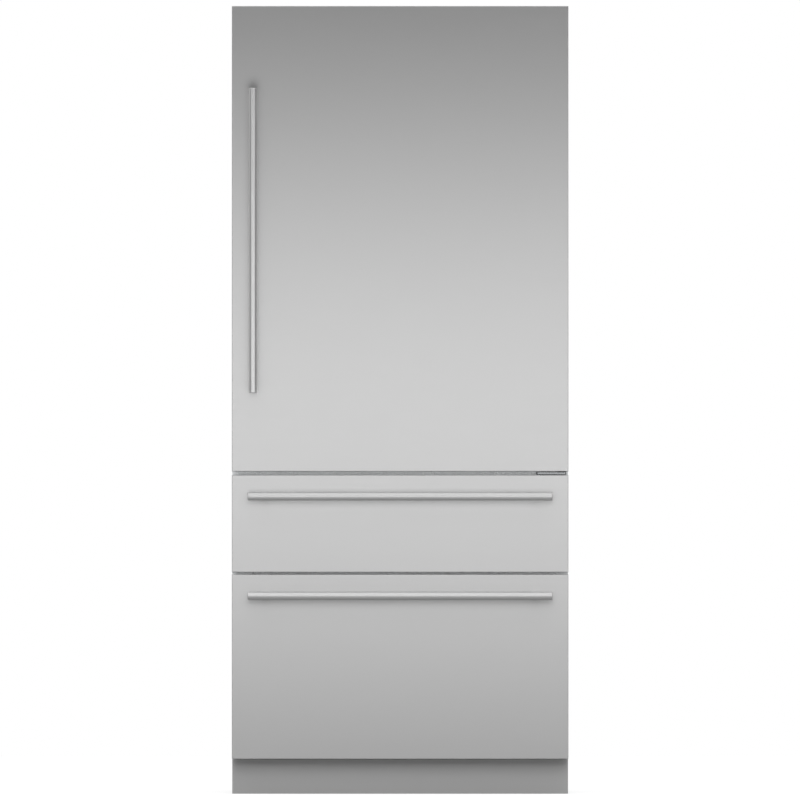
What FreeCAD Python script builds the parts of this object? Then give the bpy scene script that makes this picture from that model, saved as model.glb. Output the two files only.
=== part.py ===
"""Built-in bottom-freezer refrigerator: one hinged fresh-food door over two freezer drawers.

Frame: +Z up, the front faces -Y, the origin lies on the floor under the middle of the whole depth,
handles included. All sizes are millimetres.
"""
import FreeCAD, Part
import math
import os
import re

import Sketcher

Vector = FreeCAD.Vector
doc = FreeCAD.newDocument("refrigerator")

# Driving sizes
SIZES = {
    # Front: heights of the panels, counted up from the floor, and the joints between them
    "overall_width": 908,
    "overall_height": 2127,
    "toe_height": 95,
    "lower_panel_height": 498,
    "lower_gap": 6,
    "upper_panel_height": 262,
    "hinge_gap": 10,
    # Depth, from the handles back to the wall
    "handle_projection": 60,
    "panel_thickness": 20,
    "inner_thickness": 56,
    "gasket_gap": 14,
    "cabinet_depth": 520,
    # Steel front panels
    "panel_sheet": 1.2,
    "panel_hem": 12,
    "panel_edge_radius": 2,
    "core_play": 0.5,
    # Bar handles
    "handle_length": 822,
    "handle_radius": 11,
    "handle_end_radius": 2.5,
    "handle_inset": 57,
    "handle_rise": 212,
    "post_inset": 48,
    "post_radius": 7.5,
    "post_foot_radius": 11,
    "post_foot_height": 4,
    # Insulated inner halves of the door and the drawer fronts
    "inner_reveal": 4,
    "plug_depth": 8,
    "plug_margin": 62,
    "plug_edge_radius": 5,
    # Magnetic gaskets
    "gasket_width": 16,
    "gasket_neck": 7,
    "gasket_flange": 3,
    "gasket_magnet": 5,
    "gasket_inset_side": 22,
    "gasket_inset_end": 16,
    "gasket_relief": 0.3,
    # Cabinet
    "cabinet_side_reveal": 0.5,
    "cabinet_top_reveal": 10,
    "shell_sheet": 1.2,
    "rear_sheet": 1,
    "fresh_side_wall": 42,
    "freezer_side_wall": 56,
    "ceiling_wall": 55,
    "floor_wall": 58,
    "back_wall": 60,
    "mullion_thickness": 74,
    "liner_sheet": 2.5,
    "liner_corner": 18,
    "rail_height": 72,
    "rail_depth": 60,
    "rail_edge_radius": 3,
    "machine_depth": 190,
    "machine_height": 300,
    "machine_side_wall": 30,
    # Door hinges
    "pin_radius": 5,
    "pin_length": 32,
    "pin_from_side": 16,
    "pin_from_panel": 24,
    "pin_running_gap": 0.06,
    "hinge_plate": 5,
    "hinge_reach": 70,
    "hinge_overlap": 58,
    "hinge_nose": 11,
    "hinge_leg": 4,
    "hinge_leg_height": 16,
    "bush_radius": 8,
    "bush_flange_radius": 10.5,
    "bush_length": 36,
    "bush_fit": 0.05,
    "bush_play": 0.3,
    # Fresh-food interior
    "fresh_plenum": 50,
    "cover_sheet": 3,
    "cover_play": 0.5,
    "duct_width": 150,
    "duct_rise": 9,
    "louvre_width": 44,
    "louvre_height": 7,
    "louvre_count": 6,
    "ladder_spread": 500,
    "ladder_width": 22,
    "ladder_depth": 10,
    "ladder_sheet": 1.5,
    "ladder_margin": 60,
    "slot_width": 4,
    "slot_height": 16,
    "slot_spacing": 25,
    "arm_thickness": 3,
    "arm_height": 34,
    "arm_nose": 10,
    "arm_play": 0.4,
    "hook_height": 12,
    "hook_depth": 7,
    "shelf_depth": 255,
    "shelf_side_play": 9,
    "shelf_rim": 12,
    "shelf_rim_width": 16,
    "shelf_ledge": 6,
    "shelf_nose_radius": 4,
    "glass_thickness": 4,
    "glass_play": 0.3,
    "lower_shelf_share": 0.23,
    "middle_shelf_share": 0.52,
    "upper_shelf_share": 0.81,
    "light_width": 24,
    "light_rise": 4,
    "light_from_front": 36,
    "light_margin": 70,
    "control_width": 360,
    "control_depth": 62,
    "control_height": 9,
    "control_from_front": 36,
    # Crispers and the glass cover above them
    "crisper_height": 190,
    "crisper_wall": 2.5,
    "crisper_corner": 9,
    "crisper_side_play": 9,
    "crisper_middle_play": 4,
    "crisper_lean": 12,
    "crisper_lip": 13,
    "crisper_lip_height": 16,
    "crisper_back_play": 14,
    "glide_height": 3,
    "glide_width": 10,
    "glide_play": 0.3,
    "cover_gap": 4,
    "ledge_height": 6,
    "ledge_width": 8,
    # Door storage
    "dyke_width": 26,
    "dyke_depth": 46,
    "dyke_from_side": 56,
    "dyke_margin": 14,
    "dyke_edge_radius": 7,
    "bin_depth": 104,
    "bin_lean": 9,
    "bin_height": 96,
    "bin_wall": 2.5,
    "bin_corner": 8,
    "bin_standoff": 1,
    "bin_end_play": 7.5,
    "bin_rim": 3,
    "lug_depth": 34,
    "lug_height": 12,
    "lug_length": 7,
    "lug_from_back": 8,
    "first_bin_rise": 26,
    "bin_count": 3,
    "dairy_drop": 195,
    "dairy_height": 62,
    "dairy_ear_height": 104,
    "dairy_pivot_drop": 9,
    "dairy_pivot_inset": 16,
    "dairy_pin_radius": 3,
    "dairy_pin_play": 0.06,
    "lid_sheet": 2.5,
    "lid_play": 1.2,
    "lid_cheek": 7,
    # Freezer interior
    "freezer_plenum": 60,
    "grille_width": 90,
    "grille_height": 6,
    "grille_spacing": 14,
    "grille_rows": 5,
    "slide_length": 374,
    "slide_height": 46,
    "slide_depth": 14,
    "slide_sheet": 1.5,
    "slide_play": 0.5,
    "slide_setback": 8,
    "carrier_sheet": 2,
    "carrier_rise": 30,
    "carrier_flange": 26,
    "upper_slide_drop": 110,
    "lower_slide_drop": 60,
    "drawer_wall": 3,
    "drawer_corner": 10,
    "drawer_side_play": 0.3,
    "drawer_rim": 3,
    "drawer_front_play": 10,
    "drawer_back_play": 10,
    "drawer_floor_play": 10,
    "tray_length": 176,
    "tray_depth": 52,
    "tray_wall": 2.5,
    "tray_side_play": 4,
    "tray_play": 0.3,
    # Base, feet and rollers
    "base_bottom": 42,
    "base_sheet": 2,
    "base_flange": 22,
    "air_slot_length": 70,
    "air_slot_width": 8,
    "air_slot_spacing": 22,
    "air_slot_count": 12,
    "toe_recess": 70,
    "toe_clearance": 0.5,
    "toe_top_gap": 2,
    "toe_sheet": 1.5,
    "foot_inset": 55,
    "foot_radius": 22,
    "foot_thickness": 10,
    "stem_radius": 6,
    "stem_length": 62,
    "stem_play": 0.3,
    "nut_radius": 13,
    "nut_height": 16,
    "roller_radius": 19,
    "roller_width": 22,
    "roller_edge_radius": 2,
    "roller_setback": 62,
    "axle_radius": 5,
    "axle_play": 0.06,
    "fork_sheet": 3,
    "fork_play": 0.5,
    "fork_width": 30,
    # Machine space
    "compressor_radius": 78,
    "compressor_height": 158,
    "compressor_dome": 34,
    "compressor_seam": 4,
    "compressor_seam_height": 7,
    "compressor_from_side": 201.5,
    "mount_plate_margin": 12,
    "mount_plate_sheet": 3,
    "grommet_radius": 11,
    "grommet_height": 16,
    "terminal_width": 56,
    "terminal_depth": 24,
    "terminal_height": 62,
    "coil_tube_radius": 4,
    "coil_spacing": 34,
    "condenser_width": 120,
    "condenser_rows": 5,
    "condenser_from_side": 201.5,
    "fin_sheet": 1,
    "fin_count": 9,
    "fin_margin": 14,
    "fin_depth": 38,
    "evaporator_width": 420,
    "evaporator_rows": 4,
    "evaporator_rise": 60,
    "fan_radius": 52,
    "fan_hub_radius": 17,
    "fan_hub_depth": 20,
    "fan_blade_count": 5,
    "fan_blade_sheet": 1.8,
    "fan_blade_depth": 15,
    "fan_blade_root": 14,
    "fan_blade_tip": 38,
    "fan_tip_gap": 4,
    "fan_frame_depth": 38,
    "fan_frame_margin": 12,
    "fan_shaft_radius": 3,
    "fan_shaft_play": 0.06,
    "fan_motor_radius": 22,
    "fan_motor_depth": 12,
    "fan_motor_gap": 2,
    "fan_arm_width": 9,
    "fan_top_drop": 90,
    "drip_pan_height": 24,
    "drip_pan_wall": 2,
    "drip_pan_margin": 6,
    "drip_pan_corner": 6,
    "cover_slot_length": 120,
    "cover_slot_height": 6,
    "cover_slot_spacing": 15,
    "cover_slot_rows": 10,
    "cover_slot_spread": 420,
    # Top fixing brackets
    "bracket_spread": 700,
    "bracket_width": 70,
    "bracket_length": 60,
    "bracket_step": 5,
    "bracket_sheet": 2.5,
    "bracket_setback": 40,
    "bracket_hole_radius": 2.8,
    "bracket_hole_spacing": 40,
}

# Places worked out from the driving sizes
PLACES = {
    "half_width": "overall_width / 2",
    "front_depth": "handle_projection + panel_thickness + inner_thickness + gasket_gap",
    "handle_front": "-(front_depth + cabinet_depth) / 2",
    "panel_front": "handle_front + handle_projection",
    "panel_back": "panel_front + panel_thickness",
    "inner_back": "panel_back + inner_thickness",
    "cabinet_front": "inner_back + gasket_gap",
    "cabinet_back": "cabinet_front + cabinet_depth",
    "cabinet_half": "half_width - cabinet_side_reveal",
    "cabinet_top": "overall_height - cabinet_top_reveal",
    "shell_half": "cabinet_half - shell_sheet",
    "shell_top": "cabinet_top - shell_sheet",
    "lower_top": "toe_height + lower_panel_height",
    "upper_bottom": "lower_top + lower_gap",
    "upper_top": "upper_bottom + upper_panel_height",
    "door_bottom": "upper_top + hinge_gap",
    "hinge_level": "upper_top + hinge_gap / 2",
    "rail_level": "lower_top + lower_gap / 2",
    "inner_half": "half_width - inner_reveal",
    "door_inner_bottom": "door_bottom + inner_reveal",
    "door_inner_top": "cabinet_top - bush_play - gasket_flange",
    "fresh_half": "cabinet_half - fresh_side_wall",
    "freezer_half": "cabinet_half - freezer_side_wall",
    "fresh_floor": "hinge_level + mullion_thickness / 2",
    "freezer_ceiling": "hinge_level - mullion_thickness / 2",
    "fresh_ceiling": "cabinet_top - ceiling_wall",
    "freezer_floor": "toe_height + floor_wall",
    "cavity_back": "cabinet_back - back_wall",
    "machine_front": "cabinet_back - machine_depth",
    "step_front": "machine_front - floor_wall",
    "step_top": "machine_height + floor_wall",
    "fresh_side": "fresh_half - liner_sheet",
    "fresh_bottom": "fresh_floor + liner_sheet",
    "fresh_top": "fresh_ceiling - liner_sheet",
    "freezer_side": "freezer_half - liner_sheet",
    "freezer_bottom": "freezer_floor + liner_sheet",
    "freezer_top": "freezer_ceiling - liner_sheet",
    "liner_back": "cavity_back - liner_sheet",
    "pin_x": "half_width - pin_from_side",
    "pin_y": "panel_back + pin_from_panel",
    "bar_y": "handle_front + handle_radius",
    "duct_back": "liner_back - fresh_plenum",
    "duct_front": "duct_back - cover_sheet",
    "ladder_front": "duct_front - ladder_depth",
    "shelf_back": "ladder_front - arm_play",
    "shelf_front": "shelf_back - shelf_depth",
    "ladder_bottom": "crisper_cover_top + ladder_margin",
    "ladder_top": "fresh_top - ladder_margin",
    "louvre_spacing": "(ladder_top - ladder_bottom) / louvre_count",
    "first_slot": "ladder_bottom + slot_spacing",
    "slot_count": "floor((ladder_top - first_slot) / slot_spacing)",
    "lower_shelf_slot": "floor(slot_count * lower_shelf_share)",
    "middle_shelf_slot": "floor(slot_count * middle_shelf_share)",
    "upper_shelf_slot": "floor(slot_count * upper_shelf_share)",
    "crisper_bottom": "fresh_bottom + glide_height + glide_play",
    "crisper_top": "crisper_bottom + crisper_height",
    "crisper_cover_bottom": "crisper_top + cover_gap",
    "crisper_cover_top": "crisper_cover_bottom + shelf_rim",
    "crisper_back": "duct_front - crisper_back_play",
    "dyke_out": "half_width - dyke_from_side",
    "dyke_in": "dyke_out - dyke_width",
    "dyke_bottom": "crisper_cover_top + dyke_margin",
    "dyke_top": "fresh_top - dyke_margin",
    "bin_half": "dyke_in - bin_end_play",
    "bin_back": "inner_back + bin_standoff",
    "bin_front": "bin_back + bin_depth",
    "lug_front": "inner_back + lug_from_back + lug_depth",
    "dairy_bottom": "dyke_top - dairy_drop",
    "first_bin": "dyke_bottom + first_bin_rise",
    "bin_spacing": "(dairy_bottom - first_bin) / bin_count",
    "dairy_pivot_y": "bin_back + dairy_pivot_inset",
    "dairy_pivot_z": "dairy_bottom + dairy_ear_height - dairy_pivot_drop",
    "freezer_cover_back": "liner_back - freezer_plenum",
    "freezer_cover_front": "freezer_cover_back - cover_sheet",
    "upper_slide_level": "freezer_top - upper_slide_drop",
    "lower_slide_level": "rail_level - rail_height / 2 - lower_slide_drop",
    "slide_front": "cabinet_front + slide_setback",
    "slide_back": "slide_front + slide_length",
    "carrier_face": "freezer_side - slide_depth",
    "drawer_half": "carrier_face - drawer_side_play",
    "drawer_front": "inner_back + plug_depth + drawer_front_play",
    "drawer_back": "freezer_cover_front - drawer_back_play",
    "upper_rim": "upper_slide_level + carrier_rise",
    "lower_rim": "lower_slide_level + carrier_rise",
    "upper_drawer_bottom": "rail_level + rail_height / 2 + drawer_floor_play",
    "lower_drawer_bottom": "freezer_bottom + drawer_floor_play",
    "lower_drawer_step": "step_top + liner_sheet + drawer_floor_play",
    "lower_drawer_waist": "step_front - liner_sheet - drawer_floor_play",
    "base_floor": "base_bottom + base_sheet",
    "toe_front": "panel_front + toe_recess",
    "foot_x": "cabinet_half - foot_inset",
    "foot_y": "cabinet_front + foot_inset",
    "roller_y": "cabinet_back - roller_setback",
    "machine_mid": "cabinet_back - machine_depth / 2",
    "compressor_x": "cabinet_half - compressor_from_side",
    "condenser_x": "condenser_from_side - cabinet_half",
    "coil_bend": "coil_spacing / 2",
    "fan_half": "fan_radius + fan_tip_gap + fan_frame_margin",
    "fan_level": "base_floor + fan_half",
    "fan_hub_back": "fan_frame_depth / 2 - fan_motor_depth - fan_motor_gap",
    "fresh_fan_level": "fresh_top - fan_top_drop",
    "freezer_fan_level": "freezer_top - fan_top_drop",
    "fresh_fan_y": "duct_back + fan_tip_gap + fan_hub_depth / 2",
    "freezer_fan_y": "freezer_cover_back + fan_tip_gap + fan_hub_depth / 2",
    "tray_top": "lower_rim + drawer_rim + tray_play + tray_wall",
    "tray_half": "drawer_half - drawer_wall - tray_side_play",
    "tray_front": "drawer_front + drawer_wall + tray_side_play",
}


def fill_sheet(name, cells):
    """A spreadsheet with one aliased cell for each entry."""
    sheet = doc.addObject("Spreadsheet::Sheet", name)
    for row, (alias, content) in enumerate(cells.items(), start=1):
        sheet.set(f"A{row}", alias)
        sheet.set(f"B{row}", content)
        sheet.setAlias(f"B{row}", alias)
    doc.recompute()
    return sheet


SHEET_OF = {**{name: "dims." for name in SIZES}, **{name: "places." for name in PLACES}}


def bound(text):
    """The expression with each size's name led by the sheet that holds it."""
    return re.sub(r"[a-z][a-z_]+", lambda word: SHEET_OF.get(word[0], "") + word[0], text)


dims = fill_sheet("dims", {name: str(size) for name, size in SIZES.items()})
own_names = {name: bound(text).replace("places.", "") for name, text in PLACES.items()}
places = fill_sheet("places", {name: f"={text}" for name, text in own_names.items()})


def value(text):
    """The present value of an expression in the sheets' names."""
    return float(dims.evalExpression(bound(text)))


# Modelling helpers
PIECES = []
# Two levels nearer than this are the same, in millimetres, and a line this near to an axis runs along it
SAME_LEVEL = 1e-3
ALONG_AXIS = 0.999
PLANES = {"XY": "XY_Plane", "XZ": "XZ_Plane", "YZ": "YZ_Plane"}
# An XZ sketch faces -Y, so its pads are reversed and its pockets aren't, to run towards +Y
FACES_BACK = {"XY": False, "XZ": True, "YZ": False}


def body(name, kept=True):
    """A new body. A kept one is a sub-part of its own."""
    made = doc.addObject("PartDesign::Body", name)
    if kept:
        PIECES.append(made)
    return made


def rect(low_u, high_u, low_v, high_v):
    """A rectangle's corners."""
    return [(low_u, low_v), (high_u, low_v), (high_u, high_v), (low_u, high_v)]


def across(half):
    """The two ends of a span that lies evenly about the middle."""
    return f"-({half})", half


def mirrored(loop):
    """The loop on the other side of the sketch's upright axis."""
    return [(f"-({u})", v) for u, v in loop]


def both(loop):
    """The loop and its mirror image."""
    return [loop, mirrored(loop)]


def circle(u, v, radius):
    """A circle, as the one entry of its own loop."""
    return [(u, v, radius)]


def fix(sketch, geometry, point, u, v):
    """Ties one point of a sketch to two expressions, counted from the sketch's origin."""
    for kind, text in (("DistanceX", u), ("DistanceY", v)):
        index = sketch.addConstraint(Sketcher.Constraint(kind, -1, 1, geometry, point, value(text)))
        sketch.setExpression(f"Constraints[{index}]", bound(text))


def draw_circle(sketch, u, v, radius):
    middle = Vector(value(u), value(v), 0)
    index = sketch.addGeometry(Part.Circle(middle, Vector(0, 0, 1), value(radius)))
    fix(sketch, index, 3, u, v)
    size = sketch.addConstraint(Sketcher.Constraint("Radius", index, value(radius)))
    sketch.setExpression(f"Constraints[{size}]", bound(radius))


def draw_polygon(sketch, loop):
    corners = [Vector(value(u), value(v), 0) for u, v in loop]
    count = len(corners)
    lines = [
        sketch.addGeometry(Part.LineSegment(corners[i], corners[(i + 1) % count])) for i in range(count)
    ]
    for i in range(count):
        sketch.addConstraint(Sketcher.Constraint("Coincident", lines[i], 2, lines[(i + 1) % count], 1))
    for line, (u, v) in zip(lines, loop):
        fix(sketch, line, 1, u, v)


def outline(owner, plane, level, *loops):
    """A sketch of closed loops on one of the body's planes, moved to a level along that plane's axis."""
    sketch = owner.newObject("Sketcher::SketchObject", f"{owner.Name}_outline")
    face = next(f for f in owner.Origin.OriginFeatures if f.Role == PLANES[plane])
    sketch.AttachmentSupport = [(face, "")]
    sketch.MapMode = "FlatFace"
    sketch.setExpression("AttachmentOffset.Base.z", bound(f"-({level})" if FACES_BACK[plane] else level))
    for loop in loops:
        if len(loop) == 1:
            draw_circle(sketch, *loop[0])
        else:
            draw_polygon(sketch, loop)
    return sketch


def extrude(kind, owner, plane, low, high, loops, backwards):
    feature = owner.newObject(kind, f"{owner.Name}_{kind.split('::')[1].lower()}")
    feature.Profile = outline(owner, plane, low, *loops)
    feature.setExpression("Length", bound(f"({high}) - ({low})"))
    feature.Reversed = backwards
    owner.Tip = feature
    return feature


def pad(owner, plane, low, high, *loops):
    """Adds the loops as a prism from low to high along the plane's axis."""
    return extrude("PartDesign::Pad", owner, plane, low, high, loops, FACES_BACK[plane])


def pocket(owner, plane, low, high, *loops):
    """Cuts the loops as a prism from low to high along the plane's axis, and checks that it cut something."""
    doc.recompute()
    before = owner.Shape.Volume
    feature = extrude("PartDesign::Pocket", owner, plane, low, high, loops, not FACES_BACK[plane])
    doc.recompute()
    if owner.Shape.Volume >= before:
        raise RuntimeError(f"a pocket of {owner.Name} cuts nothing")
    return feature


def repeat(owner, feature, direction, count, pitch):
    """Repeats a feature along its sketch's H_Axis or V_Axis."""
    pattern = owner.newObject("PartDesign::LinearPattern", f"{owner.Name}_row")
    pattern.Originals = [feature]
    pattern.Direction = (feature.Profile[0], [direction])
    pattern.setExpression("Occurrences", bound(count))
    pattern.setExpression("Length", bound(f"({pitch}) * (({count}) - 1)"))
    owner.Tip = pattern
    return pattern


def lies_at(edge, **levels):
    """True if the edge lies wholly at the given x, y or z levels."""
    bounds = edge.BoundBox
    ends = {"x": (bounds.XMin, bounds.XMax), "y": (bounds.YMin, bounds.YMax), "z": (bounds.ZMin, bounds.ZMax)}
    return all(abs(end - value(text)) < SAME_LEVEL for axis, text in levels.items() for end in ends[axis])


def is_within(edge, half):
    """True if the edge lies nearer to the middle than a half width."""
    return max(abs(edge.BoundBox.XMin), abs(edge.BoundBox.XMax)) < value(half) - SAME_LEVEL


def runs_along(edge, axis):
    """True if the edge is straight and runs along X, Y or Z."""
    if not isinstance(edge.Curve, Part.Line):
        return False
    return abs(getattr(edge.Curve.Direction, axis)) > ALONG_AXIS


def rounded(owner, radius, choose):
    """Rounds the edges that the test chooses."""
    doc.recompute()
    names = [f"Edge{i}" for i, edge in enumerate(owner.Shape.Edges, start=1) if choose(edge)]
    if not names:
        raise RuntimeError(f"no edge of {owner.Name} to round")
    base = owner.Tip
    fillet = owner.newObject("PartDesign::Fillet", f"{owner.Name}_round")
    fillet.Base = (base, names)
    fillet.setExpression("Radius", bound(radius))
    owner.Tip = fillet
    return fillet


def place(owner, x, y, z):
    """Moves a body that is drawn about its own origin."""
    for axis, text in (("x", x), ("y", y), ("z", z)):
        owner.setExpression(f"Placement.Base.{axis}", bound(text))
    return owner


def group(name, *members):
    """One sub-part made of several separate solids."""
    made = doc.addObject("Part::Compound", name)
    made.Links = list(members)
    PIECES.append(made)
    return made


# Steel fronts and their bar handles
def front_panel(name, low, high):
    """A folded steel pan: bent front edges, and a hem round the back."""
    panel = body(name)
    pad(panel, "XZ", "panel_front", "panel_back", rect(*across("half_width"), low, high))
    rounded(panel, "panel_edge_radius", lambda edge: lies_at(edge, y="panel_front"))
    inside = rect(*across("half_width - panel_sheet"), f"{low} + panel_sheet", f"{high} - panel_sheet")
    pocket(panel, "XZ", "panel_front + panel_sheet", "panel_back - panel_sheet", inside)
    mouth = rect(*across("half_width - panel_hem"), f"{low} + panel_hem", f"{high} - panel_hem")
    pocket(panel, "XZ", "panel_back - panel_sheet", "panel_back", mouth)


def bar_handle(name, plane, low, high, u, v, posts):
    """A round bar on two posts. The posts are saddled to the bar and stand on round feet on the panel."""
    bar = body(f"{name}_bar", kept=False)
    pad(bar, plane, low, high, circle(u, v, "handle_radius"))
    rounded(bar, "handle_end_radius", lambda edge: isinstance(edge.Curve, Part.Circle))
    stand = body(f"{name}_posts", kept=False)
    pad(stand, "XZ", "bar_y", "panel_front", *[circle(x, z, "post_radius") for x, z in posts])
    pad(
        stand, "XZ", "panel_front - post_foot_height", "panel_front",
        *[circle(x, z, "post_foot_radius") for x, z in posts],
    )
    pocket(stand, plane, low, high, circle(u, v, "handle_radius"))
    return group(name, bar, stand)


def drawer_handle(name, top):
    level = f"({top}) - handle_inset"
    reach = "handle_length / 2"
    post = "handle_length / 2 - post_inset"
    bar_handle(name, "YZ", f"-{reach}", reach, "bar_y", level, [(f"-({post})", level), (post, level)])


def door_handle():
    x = "handle_inset - half_width"
    low = "door_bottom + handle_rise"
    high = f"{low} + handle_length"
    posts = [(x, f"{low} + post_inset"), (x, f"{high} - post_inset")]
    bar_handle("door_handle", "XY", low, high, x, "bar_y", posts)


# Insulated inner halves and seals
def foam_core(inner, low, high):
    """Adds the foam that fills a front panel's pan, through the mouth inside its hem."""
    margin = "panel_hem + core_play"
    fill = rect(*across(f"half_width - ({margin})"), f"{low} + {margin}", f"{high} - ({margin})")
    pad(inner, "XZ", "panel_front + panel_sheet", "panel_back", fill)


def drawer_inner(name, low, high):
    """The foamed back of a drawer front, with a raised plug inside the seal."""
    inner = body(name)
    bottom, top = f"{low} + inner_reveal", f"{high} - inner_reveal"
    pad(inner, "XZ", "panel_back", "inner_back", rect(*across("inner_half"), bottom, top))
    plug = rect(*across("inner_half - plug_margin"), f"{bottom} + plug_margin", f"{top} - plug_margin")
    pad(inner, "XZ", "inner_back", "inner_back + plug_depth", plug)
    rounded(inner, "plug_edge_radius", lambda edge: lies_at(edge, y="inner_back + plug_depth"))
    foam_core(inner, low, high)


def gasket(name, bottom, top):
    """A magnetic seal: flange, bellows neck and magnet pocket, swept round the front with mitred corners."""
    seal = body(name)
    side = "inner_half - gasket_inset_side"
    low, high = f"{bottom} + gasket_inset_end", f"{top} - gasket_inset_end"
    path = outline(seal, "XZ", "inner_back", rect(*across(side), low, high))
    half, neck = "gasket_width / 2", "gasket_neck / 2"
    flange, magnet = "inner_back + gasket_flange", "cabinet_front - gasket_relief - gasket_magnet"
    face = "cabinet_front - gasket_relief"
    wide = [("inner_back", half), (flange, half)]
    upper = wide + [(flange, neck), (magnet, neck), (magnet, half), (face, half)]
    loop = [(y, f"{low} + {z}") for y, z in upper] + [(y, f"{low} - {z}") for y, z in reversed(upper)]
    sweep = seal.newObject("PartDesign::AdditivePipe", f"{name}_sweep")
    sweep.Profile = outline(seal, "YZ", "0", loop)
    sweep.Spine = (path, [])
    sweep.Transition = "Right corner"
    seal.Tip = sweep


def bin_bottoms():
    """The levels of the open door bins, lowest first."""
    return [f"first_bin + {step} * bin_spacing" for step in range(SIZES["bin_count"])]


def door_inner():
    """The foamed back of the door: two dykes with lugs for the bins, and seats for the hinge bushes."""
    inner = body("door_inner")
    slab = rect(*across("inner_half"), "door_inner_bottom", "door_inner_top")
    pad(inner, "XZ", "panel_back", "inner_back", slab)
    dyke_back = "inner_back + dyke_depth"
    pad(inner, "XZ", "inner_back", dyke_back, *both(rect("dyke_in", "dyke_out", "dyke_bottom", "dyke_top")))
    rounded(inner, "dyke_edge_radius", lambda edge: lies_at(edge, y=dyke_back))
    hung = [(level, "bin_height") for level in bin_bottoms()]
    for bottom, height in hung + [("dairy_bottom", "dairy_height")]:
        top = f"{bottom} + {height} - bin_rim"
        lug = rect("dyke_in - lug_length", "dyke_in", f"{top} - lug_height", top)
        pad(inner, "XZ", "inner_back + lug_from_back", "lug_front", *both(lug))
    seat = circle("pin_x", "pin_y", "bush_radius + bush_fit")
    pocket(inner, "XY", "door_inner_bottom", "door_inner_bottom + bush_length + bush_play", seat)
    pocket(inner, "XY", "door_inner_top - bush_length - bush_play", "door_inner_top", seat)
    foam_core(inner, "door_bottom", "overall_height")


# Door hinges
def hinge_bushings():
    """Two flanged sleeves that the hinge pins turn in. The lower flange carries the door."""
    bushes = body("hinge_bushings")
    sleeve, flange = circle("pin_x", "pin_y", "bush_radius"), circle("pin_x", "pin_y", "bush_flange_radius")
    lower_face = "hinge_level + hinge_plate / 2 + bush_play"
    pad(bushes, "XY", "door_inner_bottom", "door_inner_bottom + bush_length", sleeve)
    pad(bushes, "XY", lower_face, "door_inner_bottom", flange)
    pad(bushes, "XY", "door_inner_top - bush_length", "door_inner_top", sleeve)
    pad(bushes, "XY", "door_inner_top", "cabinet_top - bush_play", flange)
    bore = circle("pin_x", "pin_y", "pin_radius + pin_running_gap")
    pocket(bushes, "XY", lower_face, "cabinet_top - bush_play", bore)


def top_hinge():
    """A steel plate on the cabinet's top that reaches out over the door and carries a pin."""
    hinge = body("top_hinge")
    plate = [
        ("pin_x - hinge_reach", "cabinet_front"),
        ("pin_x - hinge_nose", "pin_y - hinge_nose"),
        ("pin_x + hinge_nose", "pin_y - hinge_nose"),
        ("pin_x + hinge_nose", "cabinet_front + hinge_overlap"),
        ("pin_x - hinge_reach", "cabinet_front + hinge_overlap"),
    ]
    pad(hinge, "XY", "cabinet_top", "cabinet_top + hinge_plate", plate)
    rounded(hinge, "hinge_nose / 2", lambda edge: runs_along(edge, "z"))
    pad(hinge, "XY", "cabinet_top - pin_length", "cabinet_top", circle("pin_x", "pin_y", "pin_radius"))


def bottom_hinge():
    """An angle screwed to the mullion, in the joint under the door, with an upright pin."""
    hinge = body("bottom_hinge")
    low, high = "hinge_level - hinge_plate / 2", "hinge_level + hinge_plate / 2"
    angle = [
        ("pin_y - hinge_nose", low),
        ("cabinet_front - hinge_leg", low),
        ("cabinet_front - hinge_leg", "hinge_level - hinge_leg_height"),
        ("cabinet_front", "hinge_level - hinge_leg_height"),
        ("cabinet_front", high),
        ("pin_y - hinge_nose", high),
    ]
    pad(hinge, "YZ", "pin_x - hinge_reach", "pin_x + hinge_nose", angle)
    rounded(
        hinge, "hinge_nose / 2",
        lambda edge: runs_along(edge, "z") and lies_at(edge, y="pin_y - hinge_nose"),
    )
    pad(hinge, "XY", high, f"{high} + pin_length", circle("pin_x", "pin_y", "pin_radius"))


# Cabinet
def fresh_opening():
    """The mouth of the fresh-food space, as seen from the front."""
    return rect(*across("fresh_half"), "fresh_floor", "fresh_ceiling")


def outer_shell():
    """Painted steel wrapper: sides, top and a front frame that the gaskets' magnets hold to."""
    shell = body("outer_shell")
    outside = rect(*across("cabinet_half"), "toe_height", "cabinet_top")
    pad(shell, "XZ", "cabinet_front", "cabinet_back", outside)
    inside = rect(*across("shell_half"), "toe_height - shell_sheet", "shell_top")
    pocket(shell, "XZ", "cabinet_front + shell_sheet", "cabinet_back", inside)
    freezer = rect(*across("freezer_half"), "freezer_floor", "freezer_ceiling")
    pocket(shell, "XZ", "cabinet_front", "cabinet_front + shell_sheet", fresh_opening(), freezer)


def rear_panel():
    panel = body("rear_panel")
    sheet = rect(*across("shell_half"), "machine_height", "shell_top")
    pad(panel, "XZ", "cabinet_back - rear_sheet", "cabinet_back", sheet)


def freezer_outline(front, inset):
    """The freezer's side outline, drawn in by an inset. Its floor steps up over the machine space."""
    return [
        (front, f"freezer_floor + {inset}"),
        (f"step_front - {inset}", f"freezer_floor + {inset}"),
        (f"step_front - {inset}", f"step_top + {inset}"),
        (f"cavity_back - {inset}", f"step_top + {inset}"),
        (f"cavity_back - {inset}", f"freezer_ceiling - {inset}"),
        (front, f"freezer_ceiling - {inset}"),
    ]


def insulation():
    """The foam between the shell and the two liners."""
    foam = body("insulation")
    front, back = "cabinet_front + shell_sheet", "cabinet_back - rear_sheet"
    pad(foam, "XZ", front, back, rect(*across("shell_half"), "toe_height", "shell_top"))
    pocket(foam, "XZ", front, "cavity_back", fresh_opening())
    pocket(foam, "YZ", *across("freezer_half"), freezer_outline(front, "0"))
    machine = rect(*across("cabinet_half - machine_side_wall"), "toe_height", "machine_height")
    pocket(foam, "XZ", "machine_front", back, machine)


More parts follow.
